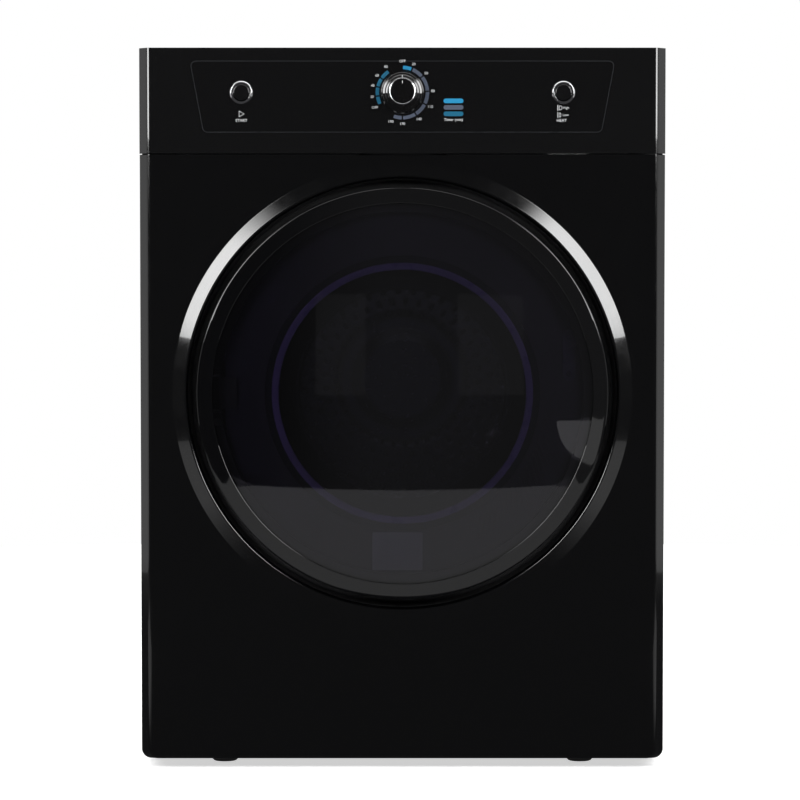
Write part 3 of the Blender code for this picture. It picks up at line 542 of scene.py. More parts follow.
def make_console():
    """Moulded console with a shallow recess, and the fascia that lies in it."""
    back, wall = CONSOLE_HIGH.y, 0.0032
    side = [(HALF - inset, FASCIA_Y + depth) for inset, depth in edge_profile(back - FASCIA_Y)]
    outline = side + [(-x, y) for x, y in side[::-1]]
    low, high = CONSOLE_LOW.z, CONSOLE_HIGH.z
    console = piece("console_shell", prism(outline, low, high, "Z"), "gloss", "cabinet",
                    "console", bevel=0.00025)
    inner = HALF - EDGE_BEVEL - wall
    hollow = block((-inner, FASCIA_Y + wall, low + wall), (inner, back + 0.01, high - wall))
    cut(console, [hollow])
    cut(console, [prism(fascia_outline(0.0005), FASCIA_Y - 0.01, FASCIA_Y + 0.0018)])
    holes = [(0.005, 0.0), (0.0118, -BUTTON_X), (0.0118, BUTTON_X)]
    cut(console, [rod(r, FASCIA_Y, FASCIA_Y + 0.01, (x, CONTROL_Z)) for r, x in holes])
    fascia = piece("fascia_plate", prism(fascia_outline(), FASCIA_Y + 0.0001, FASCIA_Y + 0.0015),
                   "fascia", "cabinet", "console_fascia", bevel=0.0004)
    cut(fascia, [rod(r, FASCIA_Y - 0.01, FASCIA_Y + 0.01, (x, CONTROL_Z)) for r, x in holes])
    # A lighter line drawn along the fascia's edge: a painted highlight in place of the light that the
    # fascia's bevel catches.
    printed("fascia_line", outline_ring(fascia_outline(-0.0002), 0.0007), "edge_line")


# Controls


def printed(name, shape, look):
    piece(name, shape, look, "cabinet")


def sector(radius, width, start, end):
    """Flat printed arc, angles clockwise from the top in degrees."""
    outer = arc((0, CONTROL_Z), radius + width, 90 - start, 90 - end, 40)
    inner = arc((0, CONTROL_Z), radius, 90 - end, 90 - start, 40)
    return prism(outer + inner, PRINT_FRONT, PRINT_BACK)


def lettering(name, text, place, size):
    """Generic numbers and plain words, printed on the fascia."""
    curve = bpy.data.curves.new(name, "FONT")
    curve.body = text
    curve.size = size
    curve.align_x = "CENTER"
    curve.align_y = "CENTER"
    curve.extrude = 0.00004
    curve.resolution_u = 3
    curve.materials.append(LOOKS["white"])
    made = new_object(name, curve)
    made.rotation_euler = (math.pi / 2, 0, 0)
    made.location = (place[0], FASCIA_Y - 0.00003, place[1])
    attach(made, "cabinet")


def make_dial_print():
    inner, width = 0.0262, 0.004
    bands = {
        "slate": [(24, 49.5), (52.5, 85.5), (88.5, 115.5), (118.5, 146.5), (149.5, 178.5), (181.5, 200)],
        "light_blue": [(1.5, 20.5)],
        "mid_blue": [(243.5, 260.5), (263.5, 281.5), (284.5, 302.5), (305.5, 326)],
    }
    for look, spans in bands.items():
        printed(f"dial_{look}", merge([sector(inner, width, a, b) for a, b in spans]), look)
    ticks = [0, 22, 51, 87, 117, 148, 180, 202, 241.5, 262, 283, 304, 327.5]
    words = ["OFF", "20", "50", "80", "110", "140", "170", "190", "OFF", "20", "40", "60", "80"]
    for k, (turn, word) in enumerate(zip(ticks, words)):
        reach = 0.0352 if len(word) > 2 else 0.0344
        angle = math.radians(90 - turn)
        place = (reach * math.cos(angle), CONTROL_Z + reach * math.sin(angle))
        lettering(f"dial_number_{k}", word, place, 0.0042)
    legend_x = 0.0576
    for k, look in enumerate(("light_blue", "slate", "mid_blue")):
        outline = round_rect((legend_x, CONTROL_Z - 0.0093 - 0.0073 * k), (0.0111, 0.0026), 0.0024, 6)
        printed(f"legend_bar_{k}", prism(outline, PRINT_FRONT, PRINT_BACK), look)
    lettering("legend_unit", "Timer (min)", (legend_x, CONTROL_Z - 0.0305), 0.0044)


def outline_ring(points, width):
    """A closed line drawn along an outline, as two offset copies of it."""
    outer = [Vector(p) for p in points]
    count = len(outer)
    inner = []
    for k, here in enumerate(outer):
        one = (here - outer[k - 1]).normalized()
        two = (outer[(k + 1) % count] - here).normalized()
        normal = Vector((-one.y - two.y, one.x + two.x)).normalized()
        inner.append(here + normal * width / max(0.35, normal.dot(Vector((-one.y, one.x)))))
    shape = bmesh.new()
    rows = []
    for loop, y in ((outer, PRINT_FRONT), (inner, PRINT_FRONT), (inner, PRINT_BACK), (outer, PRINT_BACK)):
        rows.append([shape.verts.new((p.x, y, p.y)) for p in loop])
    join_loops(shape, rows + rows[:1])
    return shape


def make_symbols():
    start_z, line = CONTROL_Z - 0.024, 0.00045
    triangle = [(-BUTTON_X - 0.0028, start_z - 0.0036), (-BUTTON_X + 0.0036, start_z),
                (-BUTTON_X - 0.0028, start_z + 0.0036)]
    printed("start_symbol", outline_ring(triangle, line), "white")
    lettering("start_word", "START", (-BUTTON_X, CONTROL_Z - 0.0315), 0.0046)
    shapes = []
    for z, reach in ((CONTROL_Z - 0.0172, 0.0036), (CONTROL_Z - 0.0252, 0.0024)):
        left = BUTTON_X - 0.005
        knob = rounded([(left, z - 0.0024), (left + reach, z - 0.0024, 0.002),
                        (left + reach, z + 0.0024, 0.002), (left, z + 0.0024)], steps=5)
        shapes.append(outline_ring(knob, 0.0005))
        stem_low = (left - 0.0016, PRINT_FRONT, z - 0.0034)
        shapes.append(block(stem_low, (left - 0.001, PRINT_BACK, z + 0.0034)))
    printed("heat_symbols", merge(shapes), "white")
    lettering("heat_word", "HEAT", (BUTTON_X - 0.002, CONTROL_Z - 0.0315), 0.0046)
    lettering("heat_high", "High", (BUTTON_X + 0.003, CONTROL_Z - 0.0172), 0.0038)
    lettering("heat_low", "Low", (BUTTON_X + 0.0025, CONTROL_Z - 0.0252), 0.0038)


def make_knob():
    y0, y1 = KNOB_LOW.y, KNOB_HIGH.y
    base, skirt = FASCIA_Y - 0.0003, FASCIA_Y - 0.0128
    centre = (0, CONTROL_Z)
    profile = rounded([
        (0, y0 + 0.0009), (0.0134, y0 + 0.0009), (0.0136, y0 + 0.0006), (0.015, y0 + 0.0012, 0.0006),
        (0.0154, skirt, 0.003), (0.0188, skirt + 0.0015, 0.0014), (0.0196, skirt + 0.003, 0.001),
        (0.0222, skirt + 0.0042, 0.0016), (KNOB_HIGH.x, skirt + 0.008, 0.002), (KNOB_HIGH.x, base, 0.0003),
        (0.0042, base), (0.0042, y1), (0, y1),
    ], steps=5)
    piece("knob_body", lathe(profile, centre, 128), "gloss", "timer_dial", "timer_knob")
    band = rounded([
        (0.0136, y0 + 0.0004, 0.0002), (0.0141, y0 + 0.0001, 0.0003), (0.0149, y0 + 0.0005, 0.0004),
        (0.0151, y0 + 0.0016, 0.0002), (0.0138, y0 + 0.0016),
    ], steps=4)
    piece("knob_band", lathe(band, centre, 128), "chrome", "timer_dial")
    face = rounded([(0, y0 + 0.0001), (0.009, y0 + 0.0002), (0.0133, y0 + 0.0006, 0.0004),
                    (0.0135, y0 + 0.0014), (0, y0 + 0.0014)], steps=4)
    piece("knob_face", lathe(face, centre, 128), "fascia", "timer_dial")
    for mark, up, reach, front, back in (("pointer", 0.0176, 0.0014, skirt + 0.0002, skirt + 0.0028),
                                         ("tick", 0.0105, 0.0016, y0, y0 + 0.001)):
        shape = prism(round_rect((0, CONTROL_Z + up), (0.00035, reach), 0.0003, 4), front, back)
        piece(f"knob_{mark}", shape, "white", "timer_dial")


def make_buttons():
    for name, side in (("start", -1), ("heat", 1)):
        centre = (side * BUTTON_X, CONTROL_Z)
        low = box_of(f"{name}_bezel")[0].y
        button = box_of(f"{name}_button")
        ring = rounded([
            (0.0096, low + 0.001, 0.0005), (0.0101, low, 0.0005), (0.0118, low, 0.0008),
            (0.013, low + 0.0012, 0.0007), (0.013, FASCIA_Y - 0.0003), (0.0112, FASCIA_Y - 0.0003),
            (0.0112, FASCIA_Y + 0.0095), (0.0096, FASCIA_Y + 0.0095),
        ], steps=5)
        piece(f"{name}_ring", lathe(ring, centre, 128), "chrome", "cabinet", f"{name}_bezel")
        y0, y1 = button[0].y, button[1].y
        cap = rounded([
            (0, y0 + 0.0006), (0.0045, y0 + 0.0005), (0.0074, y0, 0.0006), (0.009, y0 + 0.0002, 0.001),
            (0.009, y0 + 0.012), (0.003, y0 + 0.012), (0.003, y1), (0, y1),
        ], steps=5)
        piece(f"{name}_cap", lathe(cap, centre, 96), "gloss", f"{name}_key", f"{name}_button")


# Door


def dome_y(radius, depth=0.0):
    return CROWN_Y + depth + DOME_R - math.sqrt(DOME_R**2 - radius**2)


def face_lathe(profile):
    """Turns an outline of (radius, depth behind the front's face) about the drum's axis."""
    return lathe([(radius, FACE_Y + depth) for radius, depth in profile])


def make_dome():
    """One smoked moulding: the clear window and, outside its fine groove, the black rim."""
    spans = [WINDOW_R * k / 12 for k in range(13)]
    face = [(r, dome_y(r)) for r in spans]
    edge = rounded([
        (WINDOW_R - 0.0005, dome_y(WINDOW_R)), (WINDOW_R, dome_y(WINDOW_R, 0.0003)),
        (WINDOW_R + 0.0005, dome_y(WINDOW_R)), (0.219, dome_y(0.219)), (0.2235, dome_y(0.2235)),
        (0.2275, dome_y(0.2275)), (0.2328, dome_y(0.2328), 0.0024), (DOOR_R, FACE_Y - 0.006, 0.005),
        (DOOR_R, FACE_Y + 0.0005, 0.0006), (0.2295, FACE_Y + 0.0005), (0.2295, FACE_Y - 0.006, 0.003),
        (0.224, FACE_Y - 0.0108, 0.003), (WINDOW_R, dome_y(WINDOW_R, DOME_WALL)),
    ], closed=False, steps=7)
    back = [(r, dome_y(r, DOME_WALL)) for r in spans[::-1]]
    shape = lathe(face + edge[1:-1] + back)
    for one in shape.faces:
        middle = one.calc_center_median()
        one.material_index = 0 if math.hypot(middle.x, middle.z - AXIS_Z) < WINDOW_R else 1
    piece("door_dome", shape, ("window", "rim"), "door", "door_cover",
          turned=False)


def make_door_back():
    """The ring behind the rim and the liner on it, both notched for the hinge, with the liner's ribs."""
    notch_low = (-0.23, FACE_Y - 0.007, AXIS_Z - 0.036)
    notch_high = (-0.201, FACE_Y + 0.015, AXIS_Z + 0.036)
    ring = rounded([(0.2052, -0.004, 0.0012), (0.2285, -0.004, 0.0012), (0.2285, 0.006), (0.2052, 0.006)])
    made = piece("door_ring", face_lathe(ring), "dark", "door", "door_frame")
    cut(made, [block(notch_low, notch_high)])
    liner = rounded([
        (0.2285, 0.0065, 0.0008), (0.2285, 0.0105, 0.0015), (0.1592, 0.0105, 0.0012),
        (0.1577, 0.027, 0.0009), (0.1552, 0.027, 0.0009), (0.1537, 0.0105, 0.0012),
        (0.1435, 0.0105, 0.0008), (0.1435, 0.0065, 0.0008),
    ])
    made = piece("door_back", face_lathe(liner), "liner", "door", "door_liner")
    cut(made, [block(notch_low, notch_high)])
    ribs = []
    for k in range(15):
        turn = math.radians(-20 - 2.6 * k)
        a = Vector((math.cos(turn), math.sin(turn))) * 0.164
        b = Vector((math.cos(turn - 0.12), math.sin(turn - 0.12))) * 0.187
        across = Vector((a.y - b.y, b.x - a.x)).normalized() * 0.0011
        corners = [a + across, b + across, b - across, a - across]
        outline = rounded([(p.x, AXIS_Z + p.y, 0.0009) for p in corners], steps=4)
        ribs.append(prism(outline, FACE_Y + 0.0035, FACE_Y + 0.0066))
    piece("liner_ribs", merge(ribs), "liner", "door", bevel=0.0003)


def make_bowl():
    """The glass bowl, the ring that clamps it and the door's lip seal."""
    bowl = rounded([
        (0.156, 0.0025, 0.0008), (0.156, 0.0061, 0.0008), (BOWL_R, 0.0061, 0.003), (0.1255, 0.047, 0.01),
        (0.115, 0.0575, 0.01), (0.06, 0.0596), (0, 0.06), (0, 0.056), (0.06, 0.0556),
        (0.113, 0.053, 0.008), (0.1215, 0.045, 0.008), (0.1385, 0.006, 0.003), (0.1385, 0.0025, 0.001),
    ], steps=7)
    piece("glass_bowl", face_lathe(bowl), "glass", "door", "door_bowl", turned=False)
    clamp = rounded([
        (0.14, -0.0015, 0.0012), (0.148, -0.0015, 0.0012), (0.148, 0.0021), (0.14, 0.0021),
    ])
    piece("bowl_clamp_ring", face_lathe(clamp), "violet", "door", "bowl_retainer")
    seal = rounded([(0.172, 0.0109), (0.18, 0.0109), (0.1792, 0.014, 0.0012), (0.176, 0.0146, 0.0008),
                    (0.1728, 0.014, 0.0012)])
    piece("door_lip_seal", face_lathe(seal), "rubber", "door", "door_seal")


def make_door_details():
    """The blank label and the latch's plate with its screws, on the liner's front."""
    label = prism(round_rect((-0.0056, AXIS_Z - 0.18), (0.0285, 0.0215), 0.002, 4), FACE_Y + 0.006,
                  FACE_Y + 0.0066)
    piece("blank_label", label, "label", "door")
    latch = (0.189, AXIS_Z + 0.043)
    plate = prism(round_rect(latch, (0.0074, 0.029), 0.0072, 8), FACE_Y + 0.0056, FACE_Y + 0.0066)
    piece("latch_plate", plate, "plate", "door", bevel=0.0003)
    heads = [screw(latch[0], FACE_Y + 0.0056, latch[1] + up, (0, -1, 0), 0.003) for up in (-0.021, 0.021)]
    piece("latch_plate_screws", merge(heads), "plate", "door", turned=False)


# Drum and throat


def perforated(place, columns, rows, share, wraps, keep=lambda i, j: True):
    """A sheet of square cells with eight-sided holes. place(i, j) gives the point at a grid position."""
    shape = bmesh.new()
    grid = {}

    def corner(i, j):
        i = i % columns if wraps else i
        if (i, j) not in grid:
            grid[(i, j)] = shape.verts.new(place(i, j))
        return grid[(i, j)]

    for j in range(rows):
        for i in range(columns):
            cell = [corner(i, j), corner(i + 1, j), corner(i + 1, j + 1), corner(i, j + 1)]
            if not keep(i, j):
                shape.faces.new(cell)
                continue
            hole = []
            for k in range(8):
                turn = math.radians(-112.5 + 45 * k)
                across, up = share * math.cos(turn), share * math.sin(turn)
                hole.append(shape.verts.new(place(i + 0.5 + across, j + 0.5 + up)))
            for k in range(4):
                shape.faces.new((cell[k], cell[(k + 1) % 4], hole[(2 * k + 1) % 8], hole[(2 * k) % 8]))
                shape.faces.new((cell[k], hole[(2 * k) % 8], hole[(2 * k - 1) % 8]))
    return shape


def beaded(radius, front):
    """The drum's wall from front to rear, with three beads pressed inwards."""
    points = []
    for k in range(3):
        y = front + 0.075 + 0.095 * k
        for reach, sunk in ((-0.01, 0), (-0.005, 0.003), (0.005, 0.003), (0.01, 0)):
            points.append((radius - sunk, y + reach, 0.004))
    return points


def make_drum_skin():
    y0, y1 = DRUM_LOW.y, DRUM_HIGH.y
    skin = 0.0012
    inside = DRUM_R - skin
    outer = [(0.2, y0 + 0.0004), (0.2004, y0, 0.0003), (0.265, y0, 0.004), (DRUM_R, y0 + 0.008, 0.005)]
    outer += beaded(DRUM_R, y0) + [(DRUM_R, y1)]
    inner = [(inside, y1)] + beaded(inside, y0)[::-1]
    inner += [(inside, y0 + 0.0086, 0.004), (0.2646, y0 + skin, 0.003), (0.2004, y0 + skin, 0.0003)]
    piece("drum_skin", lathe(rounded(outer + inner, steps=4), sides=144), "drum", "drum",
          "drum_shell")


def make_drum_back():
    """The drum's rear wall: a perforated sheet between its hub and its rim."""
    wall_low, wall_high = box_of("drum_rear_wall")
    rows, columns, near, far = 11, 72, 0.078, 0.232
    wall_y = wall_high.y - 0.0012

    def spot(i, j):
        radius = near + (far - near) * j / rows
        turn = 2 * math.pi * i / columns
        y = wall_y - 0.0006 * math.sin(math.pi * j / rows)
        return (radius * math.cos(turn), y, AXIS_Z + radius * math.sin(turn))

    sheet = perforated(spot, columns, rows, 0.26, True, lambda i, j: (i + j) % 2 == 0)
    made = piece("drum_back_screen", sheet, "drum", "drum")
    thicken(made, 0.0009, 0, False)
    hub = rounded([
        (0, wall_low.y), (0.05, wall_low.y, 0.006), (0.066, wall_y - 0.0003, 0.004),
        (0.0785, wall_y - 0.0004), (0.0785, wall_y + 0.0008), (0.064, wall_y + 0.0008), (0, wall_y + 0.0008),
    ])
    rim = rounded([
        (0.2315, wall_y - 0.0005), (0.239, wall_y - 0.0005, 0.002), (0.244, wall_low.y + 0.0005, 0.003),
        (0.2745, wall_low.y + 0.0024, 0.002), (0.2745, wall_high.y), (0.2315, wall_y + 0.0009),
    ])
    piece("drum_back_hub", lathe(hub, sides=96), "drum", "drum", "drum_rear_wall")
    piece("drum_back_rim", lathe(rim, sides=144), "drum", "drum")


def make_lifters():
    base = DRUM_R - 0.0042
    top = base - 0.042
    for number in range(1, 4):
        turn = 2 * math.pi * (number - 1) / 3
        cos, sin = math.cos(turn), math.sin(turn)
        section = rounded([
            (-0.0258, -base, 0.001), (0.0258, -base, 0.001), (0.024, -base + 0.004, 0.004),
            (0.0115, -base + 0.026, 0.012), (0.0068, -top, 0.0065), (-0.0068, -top, 0.0065),
            (-0.0115, -base + 0.026, 0.012), (-0.024, -base + 0.004, 0.004),
        ], steps=6)
        outline = [(x * cos - z * sin, AXIS_Z + x * sin + z * cos) for x, z in section]
        node = f"drum_lifter_{number}"
        low, high = box_of(node)
        piece(f"drum_vane_{number}", prism(outline, low.y, high.y), "lifter", "drum", node,
              bevel=0.003)


def make_throat():
    low, high = box_of("front_bulkhead")
    plate_y = high.y - 0.0012
    loops = [sheet_loop(high.x, low.z, high.z, plate_y, 0.004, 0.004)]
    profile = rounded([
        (0.262, 0.0), (0.24, 0.0, 0.004), (0.234, -0.004, 0.004), (0.2, -0.004, 0.004),
        (0.194, 0.0, 0.004), (THROAT_R, 0.0, 0.006), (THROAT_R, low.y - plate_y),
    ], closed=False, steps=5)
    loops += round_loops(loops[-1], profile, plate_y)
    made = pressed("throat_plate", skin(loops), "grey", "front_bulkhead")
    reach = (FILTER_HIGH.y - FILTER_LOW.y) / 2 + 0.0025
    middle = (FILTER_HIGH.y + FILTER_LOW.y) / 2
    wide = FILTER_HIGH.x + 0.002
    slot = block((-wide, middle - reach, 0.235), (wide, middle + reach, 0.31))
    rotor = joint_place("rotor_spin")
    cut(made, [slot, rod(0.046, plate_y - 0.01, plate_y + 0.01, (rotor.x, rotor.z))])
    make_filter(middle)


def make_filter(middle):
    """Filter cassette: a moulded frame with three windows, and its fine screen."""
    top = THROAT_R - 0.0005
    half = FILTER_HIGH.x
    reach = math.degrees(math.asin(half / top))
    curve = arc((0, AXIS_Z), top, 270 + reach, 270 - reach, 24)
    outline = [(-half + 0.01, FILTER_LOW.z), (half - 0.01, FILTER_LOW.z), *curve]
    made = piece("filter_frame", prism(outline, FILTER_LOW.y, FILTER_HIGH.y), "grey",
                 "filter_cassette", "lint_filter", bevel=0.001)
    window_low, window_high = FILTER_LOW.z + 0.01, 0.236
    centre_z, half_height = (window_low + window_high) / 2, (window_high - window_low) / 2
    cut(made, [prism(round_rect((x, centre_z), (0.021, half_height), 0.004), FILTER_LOW.y - 0.01,
                     FILTER_HIGH.y + 0.01) for x in (-0.048, 0.0, 0.048)])
    columns, rows, reach = 60, 28, 0.07
    base, ceiling = window_low - 0.002, window_high + 0.002

    def spot(i, j):
        return (reach * (2 * i / columns - 1), middle, base + (ceiling - base) * j / rows)

    screen = piece("filter_screen", perforated(spot, columns, rows, 0.3, False), "zinc",
                   "filter_cassette", turned=False)
    thicken(screen, 0.0004, 0)


# Rear and underside


def screw(x, y, z, axis, radius=0.0042):
    """A pan-head screw whose top sinks into a cross, its head standing out along axis."""
    sides = 32
    cross_reach, cross_floor = 0.5, 0.0013
    steps = [(1.00, 0.0), (1.00, 0.0008), (0.88, 0.0015), (0.62, 0.002), (0.5, 0.0021), (0.34, 0.0021),
             (0.2, cross_floor)]
    shape = bmesh.new()
    loops = []
    for share, height in steps:
        loop = []
        for k in range(sides):
            turn = 2 * math.pi * k / sides
            in_cross = share <= cross_reach and k % 8 in (0, 1, 7)
            across, up = radius * share * math.cos(turn), radius * share * math.sin(turn)
            loop.append(shape.verts.new((across, up, cross_floor if in_cross else height)))
        loops.append(loop)
    join_loops(shape, loops)
    shape.faces.new(loops[0])
    shape.faces.new(loops[-1])
    turn = Vector((0, 0, 1)).rotation_difference(Vector(axis)).to_matrix().to_4x4()
    bmesh.ops.transform(shape, matrix=Matrix.Translation((x, y, z)) @ turn, verts=shape.verts)
    return shape


def make_rear_sheet():
    """Rear sheet with the openings for exhaust, cord and heater, and its louvre slots."""
    y = REAR_HIGH.y
    half = (REAR_HIGH.x, (REAR_HIGH.z - REAR_LOW.z) / 2)
    sheet = prism(round_rect(middle_of(REAR_LOW, REAR_HIGH), half, 0.003), REAR_LOW.y, y)
    made = piece("rear_sheet", sheet, "zinc", "cabinet", "rear_panel", bevel=0.0004)
    near, far = y - 0.01, y + 0.01
    holes = [rod(0.0508, near, far, VENT, 96), rod(0.0095, near, far, middle_of(*box_of("cable_gland")))]
    holes += [rod(0.028, near, far, place) for place in arc((0, AXIS_Z), 0.105, 30, 330, 5)]
    banks = [(row, side) for row in range(4) for side in (-1, 1) if (row, side) != (3, -1)]
    for row, side in banks:
        for k in range(7):
            centre = (side * 0.215, 0.12 + 0.012 * k + 0.17 * row)
            holes.append(prism(round_rect(centre, (0.026, 0.0019), 0.0018, 4), near, far))
    cut(made, holes)


def rear_screws(name, places):
    heads = [screw(x, y, z, (0, 1, 0)) for x, y, z in places]
    piece(name, merge(heads), "chrome", "cabinet", turned=False)


def make_rear_screws():
    edge = REAR_HIGH.x - 0.009
    places = [(x, REAR_HIGH.y, z) for z in (0.03, 0.22, 0.41, 0.6, 0.78) for x in (-edge, edge)]
    for x in (-0.18, 0.0, 0.18):
        places.append((x, REAR_HIGH.y, REAR_HIGH.z - 0.008))
        places.append((x, TOP_HIGH.y - 0.0002, TOP_LOW.z + 0.009))
    rear_screws("rear_screws", places)


def make_duct_cover():
    """Pressed cover over the heater duct: a round hood that runs down into a straight foot."""
    low, high, radius = DUCT_LOW, DUCT_HIGH, DUCT_HIGH.x
    wide, sheet = 0.075, 0.0012
    reach = math.degrees(math.asin(wide / radius))

    def outline(inset):
        foot = [(-wide + inset, low.z + inset), (wide - inset, low.z + inset)]
        return foot + arc((0, AXIS_Z), radius - inset, -90 + reach, 270 - reach, 96)

    duct = piece("duct_cover_shell", prism(outline(0), low.y, high.y), "zinc", "cabinet",
                 "rear_duct_cover", bevel=0.0035)
    cut(duct, [prism(outline(sheet), REAR_HIGH.y - 0.01, high.y - sheet)])
    slots = [round_rect((0.018 * k, 0.2645), (0.0045, 0.004), 0.003) for k in range(-3, 4)]
    cut(duct, [prism(slot, low.z - 0.01, low.z + 0.01, "Z") for slot in slots])
    beads = []
    for ring in (0.062, 0.118):
        section = rounded([
            (ring - 0.005, high.y - 0.0005), (ring - 0.0025, high.y + 0.0014, 0.002),
            (ring + 0.0025, high.y + 0.0014, 0.002), (ring + 0.005, high.y - 0.0005),
        ])
        beads.append(lathe(section, sides=128))
    piece("duct_cover_beads", merge(beads), "zinc", "cabinet")
    rim = arc((0, AXIS_Z), radius - 0.01, -50, 230, 7)
    rear_screws("duct_cover_screws", [(x, high.y, z) for x, z in rim])


def make_vent_ring():
    """Exhaust collar: a flange against the rear sheet and a spigot with three grip beads."""
    y = REAR_HIGH.y
    collar = [
        (0.0478, COLLAR_LOW.y), (0.05, COLLAR_LOW.y), (0.05, y + 0.0003), (0.062, y + 0.0003, 0.0004),
        (0.062, y + 0.0026, 0.0008), (0.0512, y + 0.0032, 0.001), (0.0498, y + 0.005, 0.001),
    ]
    for k in range(3):
        along = y + 0.0085 + 0.0042 * k
        collar += [(0.0498, along - 0.001, 0.0005), (0.0506, along, 0.0005), (0.0498, along + 0.001, 0.0005)]
    collar += [(0.0498, COLLAR_HIGH.y, 0.0008), (0.0478, COLLAR_HIGH.y, 0.0008)]
    piece("vent_ring", lathe(rounded(collar, steps=3), VENT, 128), "dark", "cabinet", "vent_collar")


def make_feet():
    for name in ("front_left", "front_right", "rear_left", "rear_right"):
        low, high = box_of(f"foot_{name}")
        centre = ((low.x + high.x) / 2, (low.y + high.y) / 2)
        pad = rounded([
            (0, 0), (0.0128, 0, 0.0008), (0.0147, 0.0018, 0.001), (0.0147, 0.006, 0.001),
            (0.012, 0.0072, 0.0008), (0.008, 0.0074), (0.008, 0.0098, 0.0003), (0.0045, 0.0098),
            (0.0045, high.z), (0, high.z),
        ], steps=4)
        piece(f"screw_foot_{name}_pad", lathe(pad, centre, 64, "Z"), "rubber", f"screw_foot_{name}",
              f"foot_{name}")


def finish_inner_parts():
    """Gives the CAD nodes that already have their final shape a procedural finish."""
    finishes = {
        "zinc": "base_pan exhaust_duct bearing_bracket drum_shaft motor_bracket idler_arm latch_hook "
                "left_roller_axle right_roller_axle",
        "dark": "filter_duct fan_impeller start_switch heat_switch idler_pulley door_catch "
                "door_hinge_bracket hinge_leaf",
        "grey": "fan_housing timer_unit",
        "rubber": "drive_belt left_roller right_roller cable_gland",
        "felt": "front_drum_seal rear_drum_seal",
        "bronze": "drum_bearing",
        "mica": "heater_element",
        "motor": "motor_body",
        "drum": "motor_shaft",
    }
    for look, names in finishes.items():
        for node in names.split():
            for one in frame["nodes"][node].material_slots:
                one.material = LOOKS[look]


# Studio


def lamp_face(lamp):
    """A lamp's node tree and the place on its face, whose x and y each run from 0 to 1."""
    lamp.use_nodes = True
    return lamp.node_tree, add_node(lamp.node_tree, "NewGeometry")


def fade_lamp(lamp, axis, dark, bright):
    """Makes a lamp fall off evenly along one axis of its face, from the share dark to the share bright."""
    tree, where = lamp_face(lamp)
    split = add_node(tree, "SeparateXYZ")
    wire(where, "Parametric", split, "Vector")
    ends = {"To Min": 0.0, "To Max": 1.0} if dark < bright else {"To Min": 1.0, "To Max": 0.0}
    ramp = add_node(tree, "MapRange", {"From Min": min(dark, bright), "From Max": max(dark, bright), **ends})
    ramp.interpolation_type = "SMOOTHSTEP"
    wire(split, axis, ramp, "Value")
    wire(ramp, "Result", tree.nodes["Emission"], "Strength")


def corner_lamp(lamp):
    """Lights only the quarter disc of a lamp's face about its upper outer corner."""
    tree, where = lamp_face(lamp)
    reach = add_node(tree, "VectorMath", {1: (1, 1, 0)})
    reach.operation = "DISTANCE"
    wire(where, "Parametric", reach, 0)
    inside = add_node(tree, "Math", {1: 1.0})
    inside.operation = "LESS_THAN"
    wire(reach, "Value", inside, 0)
    wire(inside, "Value", tree.nodes["Emission"], "Strength")


def soft_box(name, place, aim, size, radiance):
    """A rectangular lamp at place whose face looks at aim."""
    lamp = bpy.data.lights.new(name, "AREA")
    lamp.shape = "RECTANGLE"
    lamp.size, lamp.size_y = size
    lamp.energy = radiance * math.pi * size[0] * size[1]
    made = new_object(name, lamp)
    made.location = place
    made.rotation_euler = (Vector(aim) - Vector(place)).to_track_quat("-Z", "Y").to_euler()
    made.visible_camera = False
    return made


def floor_card(name, x, y, z, size, radiance):
    return soft_box(name, (x, y, z), (x, y, 1.0), size, radiance)


def wall_card(name, x, y, z, size, radiance):
    return soft_box(name, (x, y, z), (x, 0, z), size, radiance)


def light_only(name, node, lamps):
    """Lets the lamps light one piece alone."""
    group = bpy.data.collections.new(name)
    group.objects.link(bpy.data.objects[node])
    for one in lamps:
        one.light_linking.receiver_collection = group


def make_world():
    """White behind the machine, and a dim grey room for everything that it reflects."""
    scene = bpy.context.scene
    scene.view_settings.view_transform = "Standard"
    scene.world = bpy.data.worlds.new("studio")
    scene.world.use_nodes = True
    tree = scene.world.node_tree
    shade = add_mix(tree, (0.045, 0.045, 0.047), (1, 1, 1))
    wire(add_node(tree, "LightPath"), "Is Camera Ray", shade, "Factor")
    wire(shade, MIXED_COLOUR, tree.nodes["Background"], "Color")


def make_floor():
    shape = bmesh.new()
    bmesh.ops.create_circle(shape, cap_ends=True, radius=2.6, segments=96)
    floor = new_object("floor", mesh_of("floor", shape))
    pale, tree = new_material("pale_floor")
    fill(tree.nodes["Principled BSDF"], {
        "Base Color": (0.93, 0.93, 0.93, 1), "Roughness": 0.9, "Specular IOR Level": 0.0,
        "Emission Color": (1, 1, 1, 1), "Emission Strength": 0.6,
    })
    floor.data.materials.append(pale)
    floor.location.z = -0.0003
    floor.visible_glossy = False


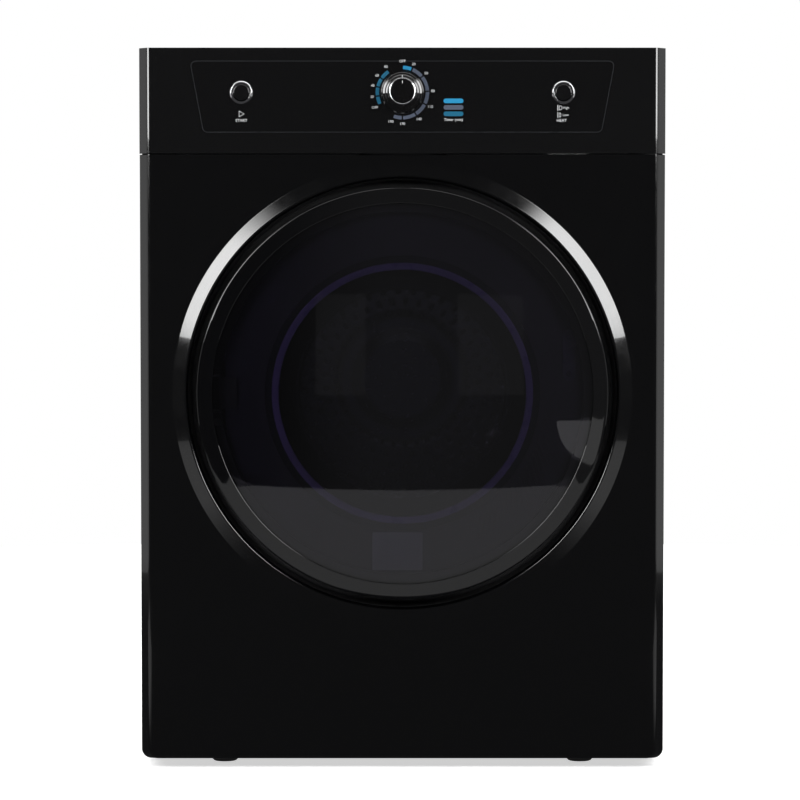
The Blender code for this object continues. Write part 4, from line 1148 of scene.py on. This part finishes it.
def make_lamps():
    """Two tall keys and two flanks on the sides, and a ceiling and a wall behind."""
    for side, strength, soft in ((-1, 9.2, 0.6), (1, 8.8, 0.76)):
        key = soft_box(f"key_{side}", (side * 1.25, -1.47, 1.33), (0, FACE_Y, 0.46), (0.85, 1.2), strength)
        fade_lamp(key.data, "Y", 1.0, soft)
        soft_box(f"flank_{side}", (side * 1.9, -0.35, 0.84), (0, -0.35, 0.84), (1.9, 1.56), 0.5)
    soft_box("drum_fill", (0, -0.135, 0.585), (0, 0.2, 0.4), (0.16, 0.03), 0.2)
    soft_box("ceiling", (0, 1.2, 2.9), (0, 1.2, 0), (4.6, 5.0), 1.5)
    soft_box("back_wall", (0, 3.2, 1.3), (0, 0, 0.5), (3.6, 2.2), 1.2)


def make_reflections():
    """Cards that only the front sheet or only the door's dome mirrors."""
    lows = []
    for side, dark, bright in ((-1, 0.0, 0.32), (1, 1.0, 0.68)):
        lows.append(floor_card(f"low_{side}", side * 1.00, -0.81, 0.004, (1.34, 0.9), 0.4))
        fade_lamp(lows[-1].data, "X", dark, bright)
    light_only("reflects_the_floor_before_it", "front_shell", lows)
    near_floor = floor_card("near_floor", 0, -1.025, 0.005, (2.4, 0.91), 0.59)
    far_room = wall_card("far_room", 1.00, -1.484, 1.505, (4.0, 3.0), 0.098)
    fade_lamp(far_room.data, "X", 0.087, 0.24)
    window_left = wall_card("window_left", -0.225, -1.4, 0.562, (0.184, 0.37), 0.06)
    window_right = wall_card("window_right", 0.327, -1.4, 0.562, (0.246, 0.37), 0.06)
    reflector = wall_card("side_reflector", 0.765, -1.5, 0.158, (0.29, 0.214), 0.75)
    corner_lamp(reflector.data)
    light_only("reflects_the_near_floor", "door_dome",
               [near_floor, far_room, window_left, window_right, reflector])


def make_camera():
    lens = bpy.data.cameras.new("camera")
    lens.sensor_width = 36
    lens.lens = 135.16
    made = new_object("camera", lens)
    made.location = (-0.0027, FACE_Y - 3.4, 0.568)
    made.rotation_euler = (math.pi / 2 - CAMERA_TILT, 0, 0)
    bpy.context.scene.camera = made


def main():
    for make in (
        make_camera, make_front, make_sides, make_top, make_console, make_dial_print, make_symbols,
        make_knob, make_buttons, make_dome, make_door_back, make_bowl, make_door_details, make_drum_skin,
        make_drum_back, make_lifters, make_throat, make_rear_sheet, make_rear_screws, make_duct_cover,
        make_vent_ring, make_feet, finish_inner_parts, make_world, make_floor, make_lamps,
        make_reflections,
    ):
        make()


main()
